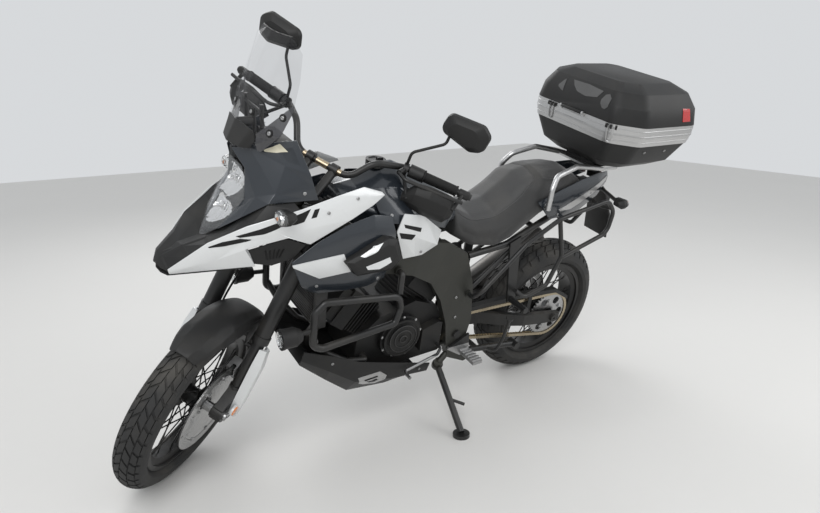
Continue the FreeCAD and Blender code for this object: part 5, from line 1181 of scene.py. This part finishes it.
# Duct panels under the wings, from their lower edge in towards the radiator.
made = bmesh.new()
vents = bmesh.new()
for side in (1, -1):
    corners = [bike(x, y * side, z) for x, y, z in (
        (606, 140, 850), (636, 150, 902), (526, 184, 940), (464, 184, 912), (497, 170, 864),
        (556, 150, 840),
    )]
    middle = bike(556, 158 * side, 884)
    inward = bike_left * -side * 0.003
    outer, inner = ring_grid(made, [corners, [point + inward for point in corners]])
    for centre, ring in ((middle, outer), (middle + inward, inner)):
        hub = made.verts.new(centre)
        for index, vertex in enumerate(ring):
            made.faces.new((vertex, ring[(index + 1) % len(ring)], hub))
    for bar in range(5):
        share = 0.25 + 0.12 * bar
        start = corners[1].lerp(corners[3], share).lerp(middle, 0.35)
        end = corners[0].lerp(corners[4], share).lerp(middle, 0.35)
        swept(vents, [start + bike_left * side * 0.002, end + bike_left * side * 0.002], 1.6, 6, 0)
piece("wing_ducts", made, black_plastic, "chassis", 20)
piece("wing_duct_bars", vents, dark_inset_and_painted_shade, "chassis")

# Top case: ribs round its band, straps and claws ahead, inlays on the lid, reflectors behind.
made = bmesh.new()
case_x = -955
band_sides = 160
for level, lift in ((1166, 1.4), (1186, 1.6), (1190, 1.6), (1210, 1.4)):
    girdle = []
    for step in range(band_sides):
        angle = 2 * math.pi * step / band_sides
        out = bike_axes @ Vector((math.cos(angle), math.sin(angle), 0))
        girdle.append((hit("case_band", bike(case_x, 0, level) + out * 0.8, -out)[0], out))
    ring_grid(made, [
        [place + out * out_by / 1000 + bike_up * height / 1000 for place, out in girdle]
        for height, out_by in ((-2.2, 0.1), (-1.2, lift), (1.2, lift), (2.2, 0.1))
    ])
piece("band_ribs", made, aluminium, "chassis")


def square(place, half_wide, low, high):
    """The corners of a rectangle across the machine."""
    return [place + bike_left * left + bike_up * up for left, up in (
        (-half_wide, low), (half_wide, low), (half_wide, high), (-half_wide, high),
    )]


made = bmesh.new()
claws = bmesh.new()
case_front = from_end("case_band", 1)
for left in (-112, 196):
    path = []
    for y, z in ((-9, 1216), (-9, 1190), (-9, 1166), (-5, 1158), (5, 1158), (9, 1166), (9, 1190),
                 (9, 1216)):
        place, normal = case_front(left + y, z)
        path.append(place + normal * 0.0034)
    swept(made, path, 2.3, 8, 4)
    for y in (-16, 0, 16):
        place, normal = case_front(left + y, 1214)
        plate(claws, square(place, 0.005, -0.008, 0.007), normal * 0.007, 1)
piece("case_straps", made, aluminium, "chassis")
piece("case_claws", claws, black_plastic, "chassis")
lid_inlays = (
    # rails of (y, z) on the lid's front face
    (((-112, 1290), (-99, 1308), (-88, 1320)), ((-108, 1284), (-90, 1276), (-78, 1274))),
    (((-52, 1324), (30, 1326), (106, 1320)), ((-36, 1306), (-10, 1290), (40, 1284), (92, 1294))),
    (((116, 1292), (124, 1312), (140, 1318), (156, 1306)),
     ((120, 1278), (132, 1266), (146, 1264), (158, 1276))),
)
patches("lid_inlays", grey_plastic, "top_case_lid",
        [(from_end("case_lid", 1), upper, lower, 1.2, 20, 6) for upper, lower in lid_inlays])
patches("case_reflectors", red_lens, "top_case_lid", on_both(
    "case_lid", 1.6, 10, 6, (((-1040, 1288), (-1082, 1286)), ((-1046, 1240), (-1092, 1240))),
) + [
    (from_end("case_lid", -1), ((side * 235, 1284), (side * 120, 1290)),
     ((side * 240, 1262), (side * 120, 1266)), 1.6, 14, 4) for side in (1, -1)
])
made = bmesh.new()
place = from_end("case_band", -1)(0, 1188)[0]
plate(made, square(place, 0.034, -0.022, 0.024), -bike_forward * 0.009, 3)
turned(made, place - bike_forward * 0.009 - bike_up * 0.002, -bike_forward,
       ((0, 8), (3, 7.4), (3.4, 3)), 24)
piece("case_lock", made, black_plastic, "chassis")

# Mirror glasses.
made = bmesh.new()
mirror_corners = ((-82, -30), (-70, 38), (52, 52), (86, 26), (80, -34), (40, -52))
for side in (1, -1):
    rings = []
    for share, x in ((0.93, 84.8), (0.92, 83.6), (0.86, 83.4)):
        corners = [Vector(corner) * share for corner in mirror_corners]
        rings.append([on_bars(x, (352 + spot.x) * side, 1300 + spot.y)
                      for spot in rounded(corners, 22)])
    ring_grid(made, rings, True, False, True)
piece("mirror_glasses", made, mirror_glass, "fork", 20)

# Instruments: the glass, the rims of its two dials, and one dial's marks and needle.
dash = from_end("instruments", -1)
patches("dash_glass", dash_glass, "chassis",
        [(dash, ((-74, 1178), (74, 1178)), ((-74, 1112), (74, 1112)), 1.2, 24, 12)])
made = bmesh.new()
face_up = (bike_axes @ Vector((0.26, 0, 0.965))).normalized()
face_out = (bike_axes @ Vector((-0.965, 0, 0.26))).normalized()
dial_level = 1146
for left, radius in ((40, 28), (-30, 22)):
    turned(made, dash(left, dial_level)[0] + face_out * 0.0012, face_out,
           ((0, radius), (2.4, radius), (2.4, radius - 3), (0.6, radius - 3.6)), 40, False)
piece("dial_rims", made, aluminium, "chassis")


def round_dial(degrees):
    """The way from the dial's middle at an angle from its top."""
    angle = math.radians(degrees)
    return bike_left * math.sin(angle) + face_up * math.cos(angle)


made = bmesh.new()
place = dash(40, dial_level)[0]
for step in range(28):
    out = round_dial(-130 + 260 * step / 27)
    long = 5 if step % 3 == 0 else 3
    inner = place + face_out * 0.0019 + out * (24 - long) / 1000
    swept(made, [inner, inner + out * long / 1000], 0.45, 5, 0)
needle, hub = round_dial(-96), place + face_out * 0.0024
swept(made, [hub - needle * 0.004, hub + needle * 0.019], 0.8, 6, 0)
piece("dial_marks", made, seam_thread, "chassis")

# Discs: float buttons and bolts; hub and sprocket bolts.
def round_axle(made, centre, axle, count, radius, along, maker, outward):
    """A ring of buttons or screws round an axle."""
    start = axle.orthogonal().normalized()
    side = axle.cross(start)
    for step in range(count):
        angle = 2 * math.pi * (step + 0.5) / count
        spot = centre + (start * math.cos(angle) + side * math.sin(angle)) * radius / 1000
        maker(made, spot + axle * along / 1000, axle * outward)


def button(made, place, direction):
    """A float button of a brake disc."""
    turned(made, place, direction, ((-1, 7), (2.0, 7), (2.6, 6), (2.6, 3.2), (1.4, 2.8)), 18)


made = bmesh.new()
for side in (1, -1):
    round_axle(made, front_centre, front_axle, 9, 121, 73.6 * side, button, side)
    round_axle(made, front_centre, front_axle, 6, 34, 48 * side, socket_bolt, side)
piece("front_disc_buttons", made, steel, "front_wheel", 30)
made = bmesh.new()
round_axle(made, rear_centre, bike_left, 6, 34, -84, socket_bolt, -1)
round_axle(made, rear_centre, bike_left, 5, 66, 97, hex_bolt, 1)
piece("rear_hub_bolts", made, steel, "rear_wheel", 30)

# Brake pipes in their clips on the fork, from the calipers up to the yoke.
def fork_at(along, left, ahead_by):
    """A place by the fork: up along it from the axle, to the left, and ahead of it."""
    return on_bars(738.4 - 0.4305 * along + 0.9026 * ahead_by, left,
                   310.4 + 0.9026 * along + 0.4305 * ahead_by)


made = bmesh.new()
clips = bmesh.new()
for side in (1, -1):
    swept(made, [
        fork_at(96, side * 64, -40), fork_at(150, side * 70, -54), fork_at(230, side * 82, -50),
        fork_at(330, side * 84, -48), fork_at(430, side * 74, -50), fork_at(520, side * 52, -46),
        fork_at(586, side * 36, -34),
    ], 3.6, 10, 8)
    for along in (262, 420):
        turned(clips, fork_at(along, side * 82, -49), bars_way(-0.4305, 0, 0.9026),
               ((-6, 6.5), (-5, 7.5), (5, 7.5), (6, 6.5)), 14)
piece("brake_pipes", made, cable_rubber, "fork")
piece("brake_pipe_clips", clips, black_plastic, "fork")

# Fork: amber reflectors.
made = bmesh.new()
for side in (1, -1):
    spot = fork_at(22, side * 145.5, 22)
    turned(made, spot, bars_way(0, side, 0), ((-0.5, 17), (1.6, 16.6), (2.6, 14), (2.8, 2)), 32)
piece("fork_reflectors", made, amber_lens, "fork", 30)

# Bars: champagne sleeves by the clamps, and ribs on the grips.
made = bmesh.new()
for run in ((-22, 0, 22), (50, 60, 72), (-50, -60, -72)):
    swept(made, [on_bars(290, y, 1059) for y in run], 11.6, 20, 0)
piece("bar_sleeves", made, champagne, "fork")
made = bmesh.new()
for side in (1, -1):
    start = Vector((157, 290 * side, 1122))
    end = Vector((112, 464 * side, 1114))
    way = (end - start).normalized()
    out = bars_way(*way)
    for step in range(26):
        spot = start + way * (16 + step * 4.1)
        turned(made, on_bars(*spot), out, ((-1.1, 17), (-0.7, 17.7), (0.7, 17.7), (1.1, 17)), 28,
               False)
piece("grip_ribs", made, grip_rubber, "fork", 60)

# Engine: screws and raised rings of the side covers.
cover_x, cover_z, screw_circle = 31, 430, 84
made = bmesh.new()
for side in (1, -1):
    for step in range(9):
        angle = 2 * math.pi * (step + 0.3) / 9
        place = on_side("crankcase", cover_x + screw_circle * math.cos(angle),
                        cover_z + screw_circle * math.sin(angle), side)[0]
        if place is not None:
            hex_bolt(made, place, bike_left * side, 4.4, 4)
piece("engine_screws", made, steel, "chassis", 30)
made = bmesh.new()
for side in (1, -1):
    place = on_side("crankcase", cover_x, cover_z, side)[0]
    for radius, lift in ((58, 2.2), (38, 3.2), (16, 4.4)):
        turned(made, place, bike_left * side,
               ((-2, radius), (lift - 0.8, radius), (lift, radius - 1), (lift, radius - 3),
                (-2, radius - 4)), 48, False)
piece("engine_cover_rings", made, engine_grey, "chassis", 30)

# Screws of the body panels and of the frame.
made = bmesh.new()
for side in (1, -1):
    for node_name, x, z in (
        ("side_wings", 400, 1010), ("side_wings", 300, 1040), ("front_cowl", 470, 1070),
        ("tank_covers", 150, 950), ("tank_covers", -60, 900), ("side_shrouds", 420, 760),
        ("side_shrouds", 200, 745), ("vent_panels", 20, 800), ("tail_covers", -640, 842),
        ("tail_covers", -840, 900), ("under_cowl", 330, 420), ("under_cowl", -60, 270),
        ("main_frame", -190, 560), ("main_frame", -200, 470), ("main_frame", 60, 800),
        ("case_base", -900, 1120), ("case_base", -1020, 1120),
    ):
        place, normal = on_side(node_name, x, z, side)
        if place is not None:
            socket_bolt(made, place, normal, 5.2, 3.4)
piece("panel_screws", made, steel, "chassis", 30)

# Windscreen: its black base plate, rubber grommets with their screws, and the cream plates.
patches("screen_base", black_plastic, "chassis", [(
    from_end("windscreen", 1),
    ((-97, 1206), (-92, 1238), (-50, 1243), (0, 1246), (50, 1243), (92, 1238), (97, 1206)),
    ((-82, 1186), (-70, 1185), (-40, 1184), (0, 1184), (40, 1184), (70, 1185), (82, 1186)),
    2.2, 40, 10,
)])
made = bmesh.new()
screws = bmesh.new()
for side in (1, -1):
    for left, level in ((159, 1291), (132, 1241), (62, 1282)):
        place, normal = from_end("windscreen", 1)(left * side, level)
        turned(made, place, normal, ((-0.5, 11), (1.8, 10.6), (3, 8.6), (3, 5)), 28)
        socket_bolt(screws, place + normal * 0.002, normal, 5.5, 3.0)
piece("screen_grommets", made, grip_rubber, "chassis")
piece("screen_screws", screws, steel, "chassis", 30)
patches("cream_plates", cream_plate, "chassis", on_both(
    "front_cowl", 1.6, 14, 5,
    (((566, 1181), (545, 1193), (526, 1203)), ((562, 1177), (536, 1179), (507, 1183))),
))

# A bare plate on its holder.
made = bmesh.new()
plate(made, [bike(x, y, z) for x, y, z in (
    (-1058.5, 62, 756), (-1058.5, -62, 756), (-1077, -62, 644), (-1077, 62, 644),
)], (bike_axes @ Vector((-0.987, 0, 0.16))) * 0.0022, 1)
piece("bare_plate", made, body_white, "chassis")

# Radiator: fins across the core.
made = bmesh.new()
core_foot, fin_pitch = 486, 9
for step in range(26):
    level = core_foot + step * fin_pitch
    ends = [hit("radiator", bike(900, left, level), -bike_forward)[0] for left in (-96, 96)]
    if None not in ends:
        swept(made, [place + bike_forward * 0.001 for place in ends], 1.2, 5, 0)
piece("radiator_fins", made, grey_plastic, "chassis")

# Stitching along the seat's seams.
made = bmesh.new()
for line in seam_lines:
    if len(line) > 2:
        swept(made, line, 0.8, 6, 0)
piece("seat_stitching", made, stitch_grey, "chassis")


# Studio: a pale floor, and large soft lamps.
bpy.context.scene.view_settings.view_transform = "Standard"
world = bpy.data.worlds.new("studio")
bpy.context.scene.world = world
world.use_nodes = True
backdrop = world.node_tree.nodes["Background"].inputs
backdrop["Color"].default_value = (0.80, 0.82, 0.84, 1)
backdrop["Strength"].default_value = 0.85


def studio_floor():
    """A plain pale floor with a faint texture."""
    mesh = bpy.data.meshes.new("floor")
    half = 8
    mesh.from_pydata(
        [(-half, -half, 0), (half, -half, 0), (half, half, 0), (-half, half, 0)],
        [], [(0, 1, 2, 3)],
    )
    material, tree, sockets = surface("floor_pale", 0.6)
    tone = placed(tree, SURFACE_TONE, Scale=1.4, Spread=0.5)["Tone"]
    colour = mixed(tree, tone, (0.66, 0.65, 0.63, 1), (0.72, 0.71, 0.69, 1))
    wire(tree, colour, sockets["Base Color"])
    bumped(tree, sockets, noise(tree, 240.0, 3.0), 0.0002)
    mesh.materials.append(material)
    floor = bpy.data.objects.new("floor", mesh)
    bpy.context.scene.collection.objects.link(floor)


studio_floor()


def lamp(name, place, aim, width, watts):
    """A square soft lamp."""
    data = bpy.data.lights.new(name, "AREA")
    data.size = width
    data.energy = watts
    thing = bpy.data.objects.new(name, data)
    bpy.context.scene.collection.objects.link(thing)
    thing.location = place
    thing.rotation_euler = (Vector(aim) - Vector(place)).to_track_quat("-Z", "Y").to_euler()


lamp("key_lamp", (2.4, 2.6, 3.4), (0, 0, 0.6), 2.4, 90)
lamp("fill_lamp", (-2.8, 2.2, 2.6), (0, 0, 0.6), 2.4, 45)
lamp("back_lamp", (-0.6, -3.0, 3.0), (0, 0, 0.7), 2.0, 40)
